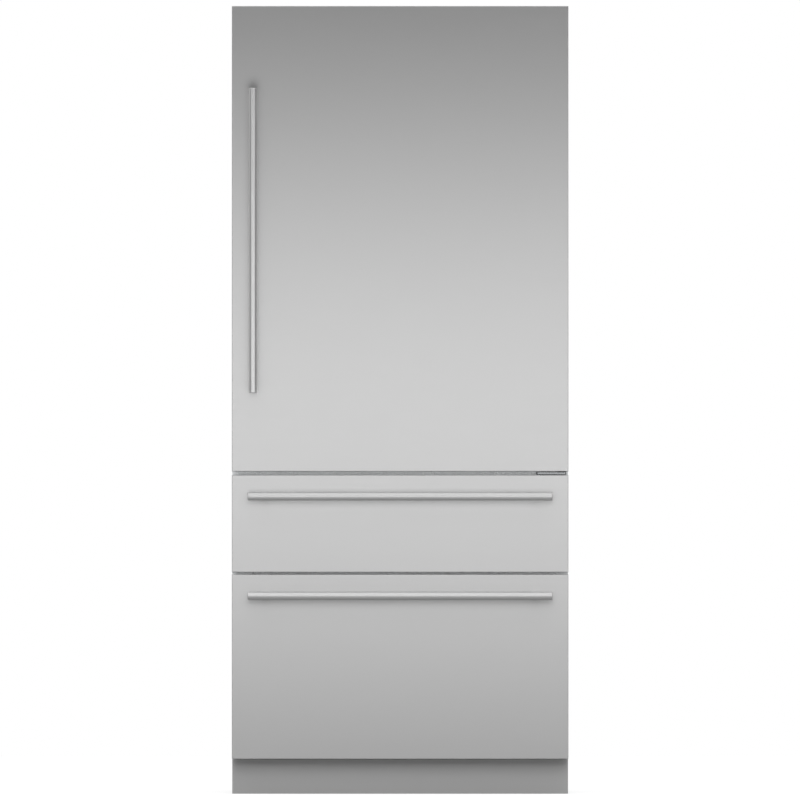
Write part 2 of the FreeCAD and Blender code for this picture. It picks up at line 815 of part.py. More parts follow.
def fresh_food_liner():
    """The moulded tub of the fresh-food space, with ledges for the crisper cover and glides on its floor."""
    liner = body("fresh_food_liner")
    pad(liner, "XZ", "cabinet_front", "cavity_back", fresh_opening())
    inside = rect(*across("fresh_side"), "fresh_bottom", "fresh_top")
    pocket(liner, "XZ", "cabinet_front", "liner_back", inside)
    rounded(liner, "liner_corner", lambda edge: runs_along(edge, "y") and is_within(edge, "fresh_half"))
    shelf = "crisper_cover_bottom"
    ledge = rect("fresh_side - ledge_width", "fresh_side", f"{shelf} - ledge_height", shelf)
    pad(liner, "XZ", "shelf_front", "duct_front", *both(ledge))
    near = "crisper_middle_play + liner_corner"
    far = "fresh_side - crisper_side_play - liner_corner - glide_width"
    for x in (near, far):
        glide = rect(x, f"{x} + glide_width", "fresh_bottom", "fresh_bottom + glide_height")
        pad(liner, "XZ", "shelf_front", "crisper_back", *both(glide))


def freezer_liner():
    """The moulded tub of the freezer, stepped over the machine space."""
    liner = body("freezer_liner")
    pad(liner, "YZ", *across("freezer_half"), freezer_outline("cabinet_front", "0"))
    pocket(liner, "YZ", *across("freezer_side"), freezer_outline("cabinet_front", "liner_sheet"))


def freezer_mullion():
    """The heated cross rail between the two drawers, where their gaskets meet."""
    rail = body("freezer_mullion")
    back = "cabinet_front + rail_depth"
    section = rect("cabinet_front", back, "rail_level - rail_height / 2", "rail_level + rail_height / 2")
    pad(rail, "YZ", *across("freezer_side"), section)
    rounded(rail, "rail_edge_radius", lambda edge: runs_along(edge, "x") and lies_at(edge, y=back))


def fixing_brackets():
    """Two stepped straps on the cabinet's top, drilled for screws up into the surrounding furniture."""
    straps = body("fixing_brackets")
    back, low = "cabinet_back - bracket_setback", "cabinet_top"
    raised = f"{low} + bracket_step"
    front = f"{back} - 2 * bracket_length"
    middle = f"{back} - bracket_length"
    step = [
        (back, low),
        (back, f"{low} + bracket_sheet"),
        (f"{middle} + bracket_sheet", f"{low} + bracket_sheet"),
        (f"{middle} + bracket_sheet", f"{raised} + bracket_sheet"),
        (front, f"{raised} + bracket_sheet"),
        (front, raised),
        (middle, raised),
        (middle, low),
    ]
    inner, outer = "bracket_spread / 2 - bracket_width / 2", "bracket_spread / 2 + bracket_width / 2"
    pad(straps, "YZ", inner, outer, step)
    pad(straps, "YZ", f"-({outer})", f"-({inner})", step)
    centre = "cabinet_back - bracket_setback - 1.5 * bracket_length"
    holes = [
        circle(x, f"{centre} {sign} bracket_hole_spacing / 2", "bracket_hole_radius")
        for x in across("bracket_spread / 2") for sign in "+-"
    ]
    pocket(straps, "XY", raised, f"{raised} + bracket_sheet", *holes)


# Base, feet and rollers
def base_tray():
    """A folded steel tray under the cabinet, with air slots, and nuts for the feet."""
    tray = body("base_tray")
    edge, inner = "cabinet_half", "cabinet_half - base_sheet"
    lip = "cabinet_half - base_flange"
    right = [
        (edge, "base_bottom"),
        (edge, "toe_height"),
        (lip, "toe_height"),
        (lip, "toe_height - base_sheet"),
        (inner, "toe_height - base_sheet"),
        (inner, "base_floor"),
    ]
    pad(tray, "XZ", "cabinet_front", "cabinet_back", right + mirrored(list(reversed(right))))
    nuts = [circle(x, "foot_y", "nut_radius") for x in across("foot_x")]
    stems = [circle(x, "foot_y", "stem_radius + stem_play") for x in across("foot_x")]
    pad(tray, "XY", "base_floor", "base_floor + nut_height", *nuts)
    pocket(tray, "XY", "base_bottom", "base_floor + nut_height", *stems)
    span = "air_slot_spacing * (air_slot_count - 1) / 2"
    first = rect(
        f"-({span}) - air_slot_width / 2", f"-({span}) + air_slot_width / 2",
        "cabinet_front + foot_inset", "cabinet_front + foot_inset + air_slot_length",
    )
    slot = pocket(tray, "XY", "base_bottom", "base_floor", first)
    repeat(tray, slot, "H_Axis", "air_slot_count", "air_slot_spacing")


def toe_kick():
    """The recessed plinth: a pan with side and top returns, open behind and below."""
    plinth = body("toe_kick")
    low, high = "toe_clearance", "toe_height - toe_top_gap"
    pad(plinth, "XZ", "toe_front", "cabinet_front", rect(*across("cabinet_half"), low, high))
    hollow = rect(*across("cabinet_half - toe_sheet"), f"{low} - toe_sheet", f"{high} - toe_sheet")
    pocket(plinth, "XZ", "toe_front + toe_sheet", "cabinet_front", hollow)


def machine_cover():
    """The slotted steel plate that closes the machine space at the back."""
    cover = body("machine_cover")
    between = "cabinet_half - base_flange - cover_play"
    right = [
        (between, "base_floor"),
        (between, "toe_height"),
        ("shell_half", "toe_height"),
        ("shell_half", "machine_height"),
    ]
    sheet = right + mirrored(list(reversed(right)))
    pad(cover, "XZ", "cabinet_back - rear_sheet", "cabinet_back", sheet)
    low = "(base_floor + machine_height - cover_slot_spacing * (cover_slot_rows - 1)) / 2"
    left, right = across("cover_slot_spread / 2")
    starts = [f"{middle} - cover_slot_length / 2" for middle in (left, "0", right)]
    slots = [rect(x, f"{x} + cover_slot_length", low, f"{low} + cover_slot_height") for x in starts]
    row = pocket(cover, "XZ", "cabinet_back - rear_sheet", "cabinet_back", *slots)
    repeat(cover, row, "V_Axis", "cover_slot_rows", "cover_slot_spacing")


def foot(name, x):
    """A levelling foot: a threaded stem on a round pad."""
    leg = body(name)
    pad(leg, "XY", "0", "foot_thickness", circle(x, "foot_y", "foot_radius"))
    rounded(leg, "foot_thickness / 4", lambda edge: lies_at(edge, z="foot_thickness"))
    pad(leg, "XY", "foot_thickness", "foot_thickness + stem_length", circle(x, "foot_y", "stem_radius"))


def roller_forks():
    """Two forks under the tray, each with its axle."""
    forks = body("roller_forks")
    gap = "roller_width / 2 + fork_play"
    for middle in ("foot_x", "-foot_x"):
        low, high = f"{middle} - ({gap}) - fork_sheet", f"{middle} + {gap} + fork_sheet"
        y_low, y_high = "roller_y - fork_width / 2", "roller_y + fork_width / 2"
        pad(forks, "XY", "base_bottom - fork_sheet", "base_bottom", rect(low, high, y_low, y_high))
        for ear in (low, f"{middle} + {gap}"):
            tip = "roller_radius - axle_radius - fork_sheet"
            shape = rect(y_low, y_high, tip, "base_bottom - fork_sheet")
            pad(forks, "YZ", ear, f"{ear} + fork_sheet", shape)
        pad(forks, "YZ", low, high, circle("roller_y", "roller_radius", "axle_radius"))


def roller(name, middle):
    wheel = body(name)
    low, high = f"{middle} - roller_width / 2", f"{middle} + roller_width / 2"
    pad(wheel, "YZ", low, high, circle("roller_y", "roller_radius", "roller_radius"))
    rounded(wheel, "roller_edge_radius", lambda edge: isinstance(edge.Curve, Part.Circle))
    pocket(wheel, "YZ", low, high, circle("roller_y", "roller_radius", "axle_radius + axle_play"))


# Fresh-food interior
def air_duct_panel():
    """The back cover of the fresh-food space: a raised air duct with rows of outlets down both sides."""
    panel = body("air_duct_panel")
    side, low, high = "fresh_side - cover_play", "fresh_bottom + cover_play", "fresh_top - cover_play"
    pad(panel, "XZ", "duct_front", "duct_back", rect(*across(side), low, high))
    rounded(panel, "liner_corner", lambda edge: runs_along(edge, "y"))
    duct = rect(*across("duct_width / 2"), "ladder_bottom", "ladder_top")
    pad(panel, "XZ", "duct_front - duct_rise", "duct_front", duct)
    rounded(panel, "duct_rise / 2", lambda edge: lies_at(edge, y="duct_front - duct_rise"))
    inside = across("duct_width / 2 - cover_sheet")
    hollow = rect(*inside, "ladder_bottom + cover_sheet", "ladder_top - cover_sheet")
    pocket(panel, "XZ", "duct_front - duct_rise + cover_sheet", "duct_back", hollow)
    low = "ladder_bottom + (louvre_spacing - louvre_height) / 2"
    start = "duct_width / 4 - louvre_width / 2"
    outlet = rect(start, f"{start} + louvre_width", low, f"{low} + louvre_height")
    row = pocket(panel, "XZ", "duct_front - duct_rise", "duct_front", *both(outlet))
    repeat(panel, row, "V_Axis", "louvre_count", "louvre_spacing")


def shelf_ladders():
    """Two slotted steel channels that the shelf arms hook into."""
    ladders = body("shelf_ladders")
    low, high = "ladder_spread / 2 - ladder_width / 2", "ladder_spread / 2 + ladder_width / 2"
    channel = [
        (low, "duct_front"),
        (low, "ladder_front"),
        (high, "ladder_front"),
        (high, "duct_front"),
        (f"{high} - ladder_sheet", "duct_front"),
        (f"{high} - ladder_sheet", "ladder_front + ladder_sheet"),
        (f"{low} + ladder_sheet", "ladder_front + ladder_sheet"),
        (f"{low} + ladder_sheet", "duct_front"),
    ]
    pad(ladders, "XY", "ladder_bottom", "ladder_top", *both(channel))
    slot = rect(
        "ladder_spread / 2 - slot_width / 2", "ladder_spread / 2 + slot_width / 2",
        "first_slot - slot_height / 2", "first_slot + slot_height / 2",
    )
    cut = pocket(ladders, "XZ", "ladder_front", "ladder_front + ladder_sheet", *both(slot))
    repeat(ladders, cut, "V_Axis", "slot_count", "slot_spacing")


SHELF_SLOTS = ("lower_shelf_slot", "middle_shelf_slot", "upper_shelf_slot")


def shelf_level(slot):
    """The underside of the shelf rim whose arms hook into a slot."""
    return f"first_slot + slot_spacing * {slot} + arm_height / 2"


def shelf_frame(name, side, level):
    """A moulded rim with a rounded nose and a ledge all round that the glass lies in."""
    rim = body(name, kept=False)
    top = f"{level} + shelf_rim"
    pad(rim, "XY", level, top, rect(*across(side), "shelf_front", "shelf_back"))
    rounded(rim, "shelf_nose_radius", lambda edge: runs_along(edge, "x") and lies_at(edge, y="shelf_front"))
    pocket(rim, "XY", level, top, shelf_inset(side, "shelf_rim_width"))
    seat = shelf_inset(side, "(shelf_rim_width - shelf_ledge)")
    pocket(rim, "XY", f"{top} - glass_thickness", top, seat)
    return rim


def shelf_inset(side, inset):
    """A shelf's plan, drawn in by an inset."""
    return rect(*across(f"{side} - {inset}"), f"shelf_front + {inset}", f"shelf_back - {inset}")


def shelf_arms(rim, slot):
    """Adds the two tapered steel arms under a rim, each with a hook through its ladder's slot."""
    level = shelf_level(slot)
    middle = f"first_slot + slot_spacing * {slot}"
    reach = "ladder_front + hook_depth"
    arm = [
        ("shelf_front + shelf_rim_width / 2", level),
        ("shelf_front + shelf_rim_width / 2", f"{level} - arm_nose"),
        ("shelf_back", f"{level} - arm_height"),
        ("shelf_back", f"{middle} - hook_height / 2"),
        (reach, f"{middle} - hook_height / 2"),
        (reach, f"{middle} + hook_height / 2"),
        ("shelf_back", f"{middle} + hook_height / 2"),
        ("shelf_back", level),
    ]
    for centre in ("ladder_spread / 2", "-ladder_spread / 2"):
        pad(rim, "YZ", f"{centre} - arm_thickness / 2", f"{centre} + arm_thickness / 2", arm)


def shelf_pane(name, side, level):
    pane = body(name, kept=False)
    top = f"{level} + shelf_rim"
    sheet = shelf_inset(side, "(shelf_rim_width - shelf_ledge + glass_play)")
    pad(pane, "XY", f"{top} - glass_thickness", top, sheet)
    return pane


def shelves():
    """Three cantilevered shelves, and the glass cover of the crispers, which lies on the liner's ledges."""
    frames, panes = [], []
    side = "fresh_side - shelf_side_play"
    for slot in SHELF_SLOTS:
        rim = shelf_frame(f"{slot}_rim", side, shelf_level(slot))
        shelf_arms(rim, slot)
        frames.append(rim)
        panes.append(shelf_pane(f"{slot}_pane", side, shelf_level(slot)))
    cover_side = "fresh_side - cover_play"
    frames.append(shelf_frame("crisper_cover_rim", cover_side, "crisper_cover_bottom"))
    panes.append(shelf_pane("crisper_cover_pane", cover_side, "crisper_cover_bottom"))
    group("shelf_frames", *frames)
    group("shelf_glass", *panes)


def light_columns():
    """Two upright light diffusers on the side walls."""
    lights = body("light_columns")
    low, high = "ladder_bottom + light_margin", "ladder_top - light_margin"
    y_low, y_high = "cabinet_front + light_from_front", "cabinet_front + light_from_front + light_width"
    pad(lights, "XY", low, high, *both(rect("fresh_side - light_rise", "fresh_side", y_low, y_high)))
    rounded(lights, "light_rise / 2", lambda edge: runs_along(edge, "z") and is_within(edge, "fresh_side"))


def control_panel():
    """The touch strip under the ceiling."""
    strip = body("control_panel")
    front = "cabinet_front + control_from_front"
    plan = rect(*across("control_width / 2"), front, f"{front} + control_depth")
    pad(strip, "XY", "fresh_top - control_height", "fresh_top", plan)
    rounded(strip, "control_height / 3", lambda edge: lies_at(edge, z="fresh_top - control_height"))


def tub(owner, low, high, side, top, wall, corner):
    """A tub with rounded corners, open at the top, from the outlines of its outer and inner sides."""
    outer, inner = side
    ends = (f"{low} + {wall}", f"{high} - {wall}")
    pad(owner, "YZ", low, high, outer)
    pocket(owner, "YZ", *ends, inner)
    left, right = [value(end) for end in ends]
    depths, levels = [[value(text) for text in texts] for texts in zip(*inner)]
    hollow = FreeCAD.BoundBox(left, min(depths), min(levels), right, max(depths), max(levels))
    hollow.enlarge(SAME_LEVEL)

    def is_below(edge):
        return edge.BoundBox.ZMin < value(top) - SAME_LEVEL

    rounded(owner, f"{corner} - {wall}", lambda edge: hollow.isInside(edge.BoundBox) and is_below(edge))
    rounded(owner, corner, lambda edge: not hollow.isInside(edge.BoundBox) and is_below(edge))


def crisper(name, low, high):
    """A clear vegetable drawer with a leaning front and a pull lip."""
    drawer = body(name)
    front, top, wall = "shelf_front", "crisper_top", "crisper_wall"
    outer = [
        (f"{front} + crisper_lean", "crisper_bottom"),
        ("crisper_back", "crisper_bottom"),
        ("crisper_back", top),
        (front, top),
    ]
    inner = [
        (f"{front} + crisper_lean + {wall}", f"crisper_bottom + {wall}"),
        (f"crisper_back - {wall}", f"crisper_bottom + {wall}"),
        (f"crisper_back - {wall}", top),
        (f"{front} + {wall}", top),
    ]
    tub(drawer, low, high, (outer, inner), top, wall, "crisper_corner")
    lip = [
        (front, top),
        (f"{front} - crisper_lip", top),
        (f"{front} - crisper_lip", f"{top} - crisper_lip_height"),
        (f"{front} - crisper_lip + {wall}", f"{top} - crisper_lip_height"),
        (f"{front} - crisper_lip + {wall}", f"{top} - {wall}"),
        (f"{front} + {wall} / 2", f"{top} - {wall}"),
        (f"{front} + {wall} / 2", top),
    ]
    pad(drawer, "YZ", f"{low} + crisper_corner", f"{high} - crisper_corner", lip)


# Door storage
def door_bin(name, bottom):
    """An open door bin that hangs on the lugs by a rim at each end."""
    bin_body = body(name, kept=False)
    top = f"{bottom} + bin_height"
    outer = [
        ("bin_back", bottom),
        ("bin_front - bin_lean", bottom),
        ("bin_front", top),
        ("bin_back", top),
    ]
    inner = [
        ("bin_back + bin_wall", f"{bottom} + bin_wall"),
        ("bin_front - bin_lean - bin_wall", f"{bottom} + bin_wall"),
        ("bin_front - bin_wall", top),
        ("bin_back + bin_wall", top),
    ]
    tub(bin_body, *across("bin_half"), (outer, inner), top, "bin_wall", "bin_corner")
    rim = rect("bin_half - bin_wall", "dyke_in - cover_play", "bin_back + bin_corner", "lug_front")
    pad(bin_body, "XY", f"{top} - bin_rim", top, *both(rim))
    return bin_body


def dairy_bin():
    """The covered bin at the top of the door, with ears that carry the lid's pins."""
    holder = body("dairy_bin")
    top, ear_top = "dairy_bottom + dairy_height", "dairy_bottom + dairy_ear_height"
    front = "bin_front - bin_lean"
    side = [
        ("bin_back", "dairy_bottom"),
        (front, "dairy_bottom"),
        (front, top),
        ("bin_back + 2 * dairy_pivot_inset", ear_top),
        ("bin_back", ear_top),
    ]
    pad(holder, "YZ", *across("bin_half"), side)
    hollow = [
        ("bin_back + bin_wall", "dairy_bottom + bin_wall"),
        (f"{front} - bin_wall", "dairy_bottom + bin_wall"),
        (f"{front} - bin_wall", f"{ear_top} + bin_wall"),
        ("bin_back - bin_wall", f"{ear_top} + bin_wall"),
        ("bin_back - bin_wall", top),
        ("bin_back + bin_wall", top),
    ]
    pocket(holder, "YZ", *across("bin_half - bin_wall"), hollow)
    rim = rect("bin_half - bin_wall", "dyke_in - cover_play", "bin_back + bin_corner", "lug_front")
    pad(holder, "XY", f"{top} - bin_rim", top, *both(rim))
    hole = circle("dairy_pivot_y", "dairy_pivot_z", "dairy_pin_radius + dairy_pin_play")
    pocket(holder, "YZ", *across("bin_half"), hole)


def dairy_lid():
    """The lid that swings up on two pins: a roof, a sloped front and a flap, with a cheek at each end."""
    lid = body("dairy_lid")
    side = "bin_half - bin_wall - lid_play"
    front, lip = "bin_front - bin_lean + lid_play", "dairy_bottom + dairy_height / 2"
    roof, crease = "dairy_bottom + dairy_ear_height + lid_play", "dairy_bottom + dairy_height + lid_play"
    back, ridge = "dairy_pivot_y - lid_cheek", "bin_back + 2 * dairy_pivot_inset"
    sheet = [
        (back, roof),
        (ridge, roof),
        (front, crease),
        (front, lip),
        (f"{front} + lid_sheet", lip),
        (f"{front} + lid_sheet", f"{crease} + lid_sheet"),
        (ridge, f"{roof} + lid_sheet"),
        (back, f"{roof} + lid_sheet"),
    ]
    pad(lid, "YZ", *across(side), sheet)
    cheek = rect(back, "dairy_pivot_y + lid_cheek", "dairy_pivot_z - lid_cheek", f"{roof} + lid_sheet")
    pin = circle("dairy_pivot_y", "dairy_pivot_z", "dairy_pin_radius")
    for low, high, end in (
        (f"{side} - lid_sheet", side, "bin_half"),
        (f"-({side})", f"lid_sheet - ({side})", "-bin_half"),
    ):
        pad(lid, "YZ", low, high, cheek)
        pin_ends = (low, end) if end == "bin_half" else (end, high)
        pad(lid, "YZ", *pin_ends, pin)


# Freezer interior
def freezer_air_panel():
    """The back cover of the freezer, with grilles and a round fan opening."""
    panel = body("freezer_air_panel")
    low, high = "step_top + liner_sheet + cover_play", "freezer_top - cover_play"
    sheet = rect(*across("freezer_side - cover_play"), low, high)
    pad(panel, "XZ", "freezer_cover_front", "freezer_cover_back", sheet)
    opening = circle("0", "freezer_fan_level", "fan_radius")
    pocket(panel, "XZ", "freezer_cover_front", "freezer_cover_back", opening)
    start = "freezer_fan_level - (grille_spacing * (grille_rows - 1) + grille_height) / 2"
    left = "(freezer_side - grille_width) / 2"
    slot = rect(left, f"{left} + grille_width", start, f"{start} + grille_height")
    row = pocket(panel, "XZ", "freezer_cover_front", "freezer_cover_back", *both(slot))
    repeat(panel, row, "V_Axis", "grille_rows", "grille_spacing")


def slide_channel(wall, half, level):
    """The section of a slide's outer or middle member: a channel that opens towards the drawer."""
    tip = "carrier_face + carrier_sheet + slide_play"
    low, high = f"{level} - ({half})", f"{level} + {half}"
    return [
        (wall, low),
        (wall, high),
        (tip, high),
        (tip, f"{high} - slide_sheet"),
        (f"{wall} - slide_sheet", f"{high} - slide_sheet"),
        (f"{wall} - slide_sheet", f"{low} + slide_sheet"),
        (tip, f"{low} + slide_sheet"),
        (tip, low),
    ]


def slide_outer_rails():
    """The fixed members of the four drawer slides, on the freezer's side walls."""
    rails = body("slide_outer_rails")
    for level in ("upper_slide_level", "lower_slide_level"):
        section = slide_channel("freezer_side", "slide_height / 2", level)
        pad(rails, "XZ", "slide_front", "slide_back", *both(section))


def middle_slides(name, level):
    """The middle members of one drawer's slides, nested in the fixed ones."""
    step = "(slide_sheet + slide_play)"
    section = slide_channel(f"freezer_side - {step}", f"slide_height / 2 - {step}", level)
    pad(body(name), "XZ", "slide_front", "slide_back", *both(section))


def inner_slides(name, level):
    """The members that carry the drawer. They run in the middle ones, and have a screw flange in front."""
    rails = body(name)
    web, back = "carrier_face", "carrier_face + carrier_sheet"
    half = "slide_height / 2 - 2 * slide_sheet - 2 * slide_play"
    tip = "freezer_side - 2 * slide_sheet - 2 * slide_play"
    low, high = f"{level} - ({half})", f"{level} + {half}"
    rise = f"{level} + carrier_rise"
    section = [
        (web, low),
        (tip, low),
        (tip, f"{low} + slide_sheet"),
        (back, f"{low} + slide_sheet"),
        (back, f"{high} - slide_sheet"),
        (tip, f"{high} - slide_sheet"),
        (tip, high),
        (back, high),
        (back, rise),
        (web, rise),
    ]
    front = "inner_back + plug_depth"
    pad(rails, "XZ", front, "slide_back", *both(section))
    flange = rect(f"{web} - carrier_flange", web, low, rise)
    pad(rails, "XZ", front, f"{front} + carrier_sheet", *both(flange))


def drawer_rim(drawer, level):
    """The rims by which a drawer hangs on its slides."""
    low, high = "drawer_half - drawer_wall", "carrier_face + carrier_sheet"
    rim = rect(low, high, "slide_front", "drawer_back - drawer_corner")
    pad(drawer, "XY", level, f"{level} + drawer_rim", *both(rim))


def upper_bin():
    """The shallow bin of the upper freezer drawer."""
    drawer = body("upper_bin")
    top, wall = "upper_rim + drawer_rim", "drawer_wall"
    outer = rect("drawer_front", "drawer_back", "upper_drawer_bottom", top)
    inner = rect(f"drawer_front + {wall}", f"drawer_back - {wall}", f"upper_drawer_bottom + {wall}", top)
    tub(drawer, *across("drawer_half"), (outer, inner), top, wall, "drawer_corner")
    drawer_rim(drawer, "upper_rim")


def lower_bin():
    """The deep bin of the lower freezer drawer, stepped at the back over the machine space."""
    drawer = body("lower_bin")
    top, wall = "lower_rim + drawer_rim", "drawer_wall"

    def side(inset):
        return [
            (f"drawer_front + {inset}", f"lower_drawer_bottom + {inset}"),
            (f"lower_drawer_waist - {inset}", f"lower_drawer_bottom + {inset}"),
            (f"lower_drawer_waist - {inset}", f"lower_drawer_step + {inset}"),
            (f"drawer_back - {inset}", f"lower_drawer_step + {inset}"),
            (f"drawer_back - {inset}", top),
            (f"drawer_front + {inset}", top),
        ]

    tub(drawer, *across("drawer_half"), (side("0"), side(wall)), top, wall, "drawer_corner")
    drawer_rim(drawer, "lower_rim")


def lower_tray():
    """A shallow tray that slides to and fro on the lower bin's rims."""
    tray = body("lower_tray")
    top, bottom, wall = "tray_top", "tray_top - tray_depth", "tray_wall"
    back = "tray_front + tray_length"
    outer = rect("tray_front", back, bottom, top)
    inner = rect(f"tray_front + {wall}", f"{back} - {wall}", f"{bottom} + {wall}", top)
    tub(tray, *across("tray_half"), (outer, inner), top, wall, "drawer_corner")
    rim = rect(f"tray_half - {wall}", "drawer_half", "tray_front + drawer_corner", f"{back} - drawer_corner")
    pad(tray, "XY", f"{top} - {wall}", top, *both(rim))


# Cold circuit and fans
def finned_coil(name, width, rows):
    """A serpentine tube swept through flat fins, drawn about the middle of its lowest pass."""
    half, pitch, count = value(f"{width} / 2"), value("coil_spacing"), int(value(rows))
    edges = []
    for row in range(count):
        level = row * pitch
        side = half if row % 2 == 0 else -half
        edges.append(Part.makeLine(Vector(-side, 0, level), Vector(side, 0, level)))
        if row < count - 1:
            crown = Vector(side + math.copysign(pitch / 2, side), 0, level + pitch / 2)
            bend = Part.Arc(Vector(side, 0, level), crown, Vector(side, 0, level + pitch))
            edges.append(bend.toShape())
    section = Part.makeCircle(value("coil_tube_radius"), Vector(-half, 0, 0), Vector(1, 0, 0))
    tube = Part.Wire(edges).makePipeShell([Part.Wire([section])], True, False)
    margin, depth, sheet = value("fin_margin"), value("fin_depth"), value("fin_sheet")
    step = (2 * half - 2 * margin - sheet) / (value("fin_count") - 1)
    height = (count - 1) * pitch + 2 * margin
    corners = [Vector(margin - half + i * step, -depth / 2, -margin) for i in range(int(value("fin_count")))]
    fins = [Part.makeBox(sheet, depth, height, corner) for corner in corners]
    coil = doc.addObject("Part::Feature", name)
    coil.Shape = tube.multiFuse(fins)
    PIECES.append(coil)
    return coil


def turned(owner):
    """Turns a piece that is drawn across X, so that it faces along X."""
    owner.Placement = FreeCAD.Placement(Vector(0, 0, 0), FreeCAD.Rotation(Vector(0, 0, 1), 90))
    return owner


def coils():
    place(turned(finned_coil("condenser_coil", "condenser_width", "condenser_rows")),
          "condenser_x", "machine_mid", "base_floor + drip_pan_wall + fin_margin")
    for name, low in (("fresh_evaporator", "fresh_bottom"), ("freezer_evaporator", "step_top + liner_sheet")):
        coil = finned_coil(name, "evaporator_width", "evaporator_rows")
        place(coil, "0", "liner_back - fin_depth / 2", f"{low} + evaporator_rise")


def fan_blade(name):
    """An axial fan wheel: a hub and twisted blades, drawn about the middle of the hub."""
    fan = body(name)
    pad(fan, "XZ", "-fan_hub_depth / 2", "fan_hub_depth / 2", circle("0", "0", "fan_hub_radius"))
    sections = []
    for level, chord in (("fan_blade_root", "fan_blade_root"), ("fan_radius - fan_tip_gap", "fan_blade_tip")):
        corners = [
            ("-fan_blade_depth / 2", f"-{chord} / 2"),
            ("fan_blade_sheet - fan_blade_depth / 2", f"-{chord} / 2"),
            ("fan_blade_depth / 2", f"{chord} / 2"),
            ("fan_blade_depth / 2 - fan_blade_sheet", f"{chord} / 2"),
        ]
        sections.append(outline(fan, "YZ", level, corners))
    blade = fan.newObject("PartDesign::AdditiveLoft", f"{name}_blade")
    blade.Profile = sections[0]
    blade.Sections = sections[1:]
    blade.Ruled = True
    fan.Tip = blade
    doc.recompute()
    wheel = fan.newObject("PartDesign::PolarPattern", f"{name}_wheel")
    wheel.Originals = [blade]
    wheel.Axis = (next(line for line in fan.Origin.OriginFeatures if line.Role == "Y_Axis"), [""])
    wheel.Angle = 360
    wheel.setExpression("Occurrences", bound("fan_blade_count"))
    fan.Tip = wheel
    bore = circle("0", "0", "fan_shaft_radius + fan_shaft_play")
    pocket(fan, "XZ", "-fan_hub_depth / 2", "fan_hub_depth / 2", bore)
    return fan


def fan_motors():
    """The motors of the two fans behind the covers, each on a stub from the liner's back, with its shaft."""
    motors = body("fan_motors")
    for level, y in (("fresh_fan_level", "fresh_fan_y"), ("freezer_fan_level", "freezer_fan_y")):
        face = f"{y} + fan_hub_depth / 2 + fan_motor_gap"
        back = f"{face} + fan_motor_depth"
        pad(motors, "XZ", face, back, circle("0", level, "fan_motor_radius"))
        pad(motors, "XZ", back, "liner_back", circle("0", level, "fan_motor_radius / 2"))
        pad(motors, "XZ", f"{y} - fan_hub_depth / 2", face, circle("0", level, "fan_shaft_radius"))


def condenser_fan_frame():
    """The square shroud of the condenser fan, with a cross that carries its motor."""
    frame = body("condenser_fan_frame")
    low, high = across("fan_frame_depth / 2")
    face = "fan_frame_depth / 2 - fan_motor_depth"
    pad(frame, "XZ", low, high, rect(*across("fan_half"), *across("fan_half")))
    rounded(frame, "fan_frame_margin / 2", lambda edge: runs_along(edge, "y"))
    pocket(frame, "XZ", low, high, circle("0", "0", "fan_radius + fan_tip_gap"))
    arm = "fan_arm_width / 2"
    reach = "fan_radius + 2 * fan_tip_gap"
    for sides in ((*across(arm), *across(reach)), (*across(reach), *across(arm))):
        pad(frame, "XZ", f"{high} - fan_tip_gap", high, rect(*sides))
    pad(frame, "XZ", face, high, circle("0", "0", "fan_motor_radius"))
    pad(frame, "XZ", "fan_hub_back - fan_hub_depth", face, circle("0", "0", "fan_shaft_radius"))
    place(turned(frame), "0", "machine_mid", "fan_level")


def fans():
    condenser_fan_frame()
    fan_motors()
    wheel = turned(fan_blade("condenser_fan_blade"))
    place(wheel, "fan_hub_depth / 2 - fan_hub_back", "machine_mid", "fan_level")
    place(fan_blade("fresh_fan_blade"), "0", "fresh_fan_y", "fresh_fan_level")
    place(fan_blade("freezer_fan_blade"), "0", "freezer_fan_y", "freezer_fan_level")


def compressor():
    """A domed compressor on a plate with four rubber feet, and its terminal box."""
    base = body("compressor_base", kept=False)
    half = "compressor_radius + mount_plate_margin"
    foot_place = f"{half} - grommet_radius - mount_plate_sheet"
    corners = across(foot_place)
    feet = [circle(x, y, "grommet_radius") for x in corners for y in corners]
    plate_top = "grommet_height + mount_plate_sheet"
    pad(base, "XY", "0", "grommet_height", *feet)
    pad(base, "XY", "grommet_height", plate_top, rect(*across(half), *across(half)))
    thin = value("2 * mount_plate_sheet")
    rounded(base, "grommet_radius", lambda edge: runs_along(edge, "z") and edge.Length < thin)
    can = body("compressor_can", kept=False)
    top = f"{plate_top} + compressor_height"
    pad(can, "XY", plate_top, top, circle("0", "0", "compressor_radius"))
    rounded(can, "compressor_dome", lambda edge: isinstance(edge.Curve, Part.Circle))
    seam = f"{plate_top} + compressor_height / 2"
    ring = circle("0", "0", "compressor_radius + compressor_seam")
    pad(can, "XY", seam, f"{seam} + compressor_seam_height", ring)
    left, right = "-compressor_radius - terminal_depth", "-compressor_radius / 2"
    box = rect(left, right, *across("terminal_width / 2"))
    pad(can, "XY", f"{seam} - terminal_height / 2", f"{seam} + terminal_height / 2", box)
    for solid in (base, can):
        place(solid, "compressor_x", "machine_mid", "base_floor")
    group("compressor", base, can)


def drip_pan():
    """The pan that the condenser stands in, which catches the defrost water."""
    pan = body("drip_pan")
    deep = "condenser_width / 2 + coil_bend + coil_tube_radius + drip_pan_margin"
    wide = "fin_depth / 2 + 2 * drip_pan_margin"
    low, high = f"machine_mid - ({deep})", f"machine_mid + {deep}"
    bottom, top, wall = "base_floor", "base_floor + drip_pan_height", "drip_pan_wall"
    outer = rect(low, high, bottom, top)
    inner = rect(f"{low} + {wall}", f"{high} - {wall}", f"{bottom} + {wall}", top)
    ends = (f"condenser_x - ({wide})", f"condenser_x + {wide}")
    tub(pan, *ends, (outer, inner), top, wall, "drip_pan_corner")


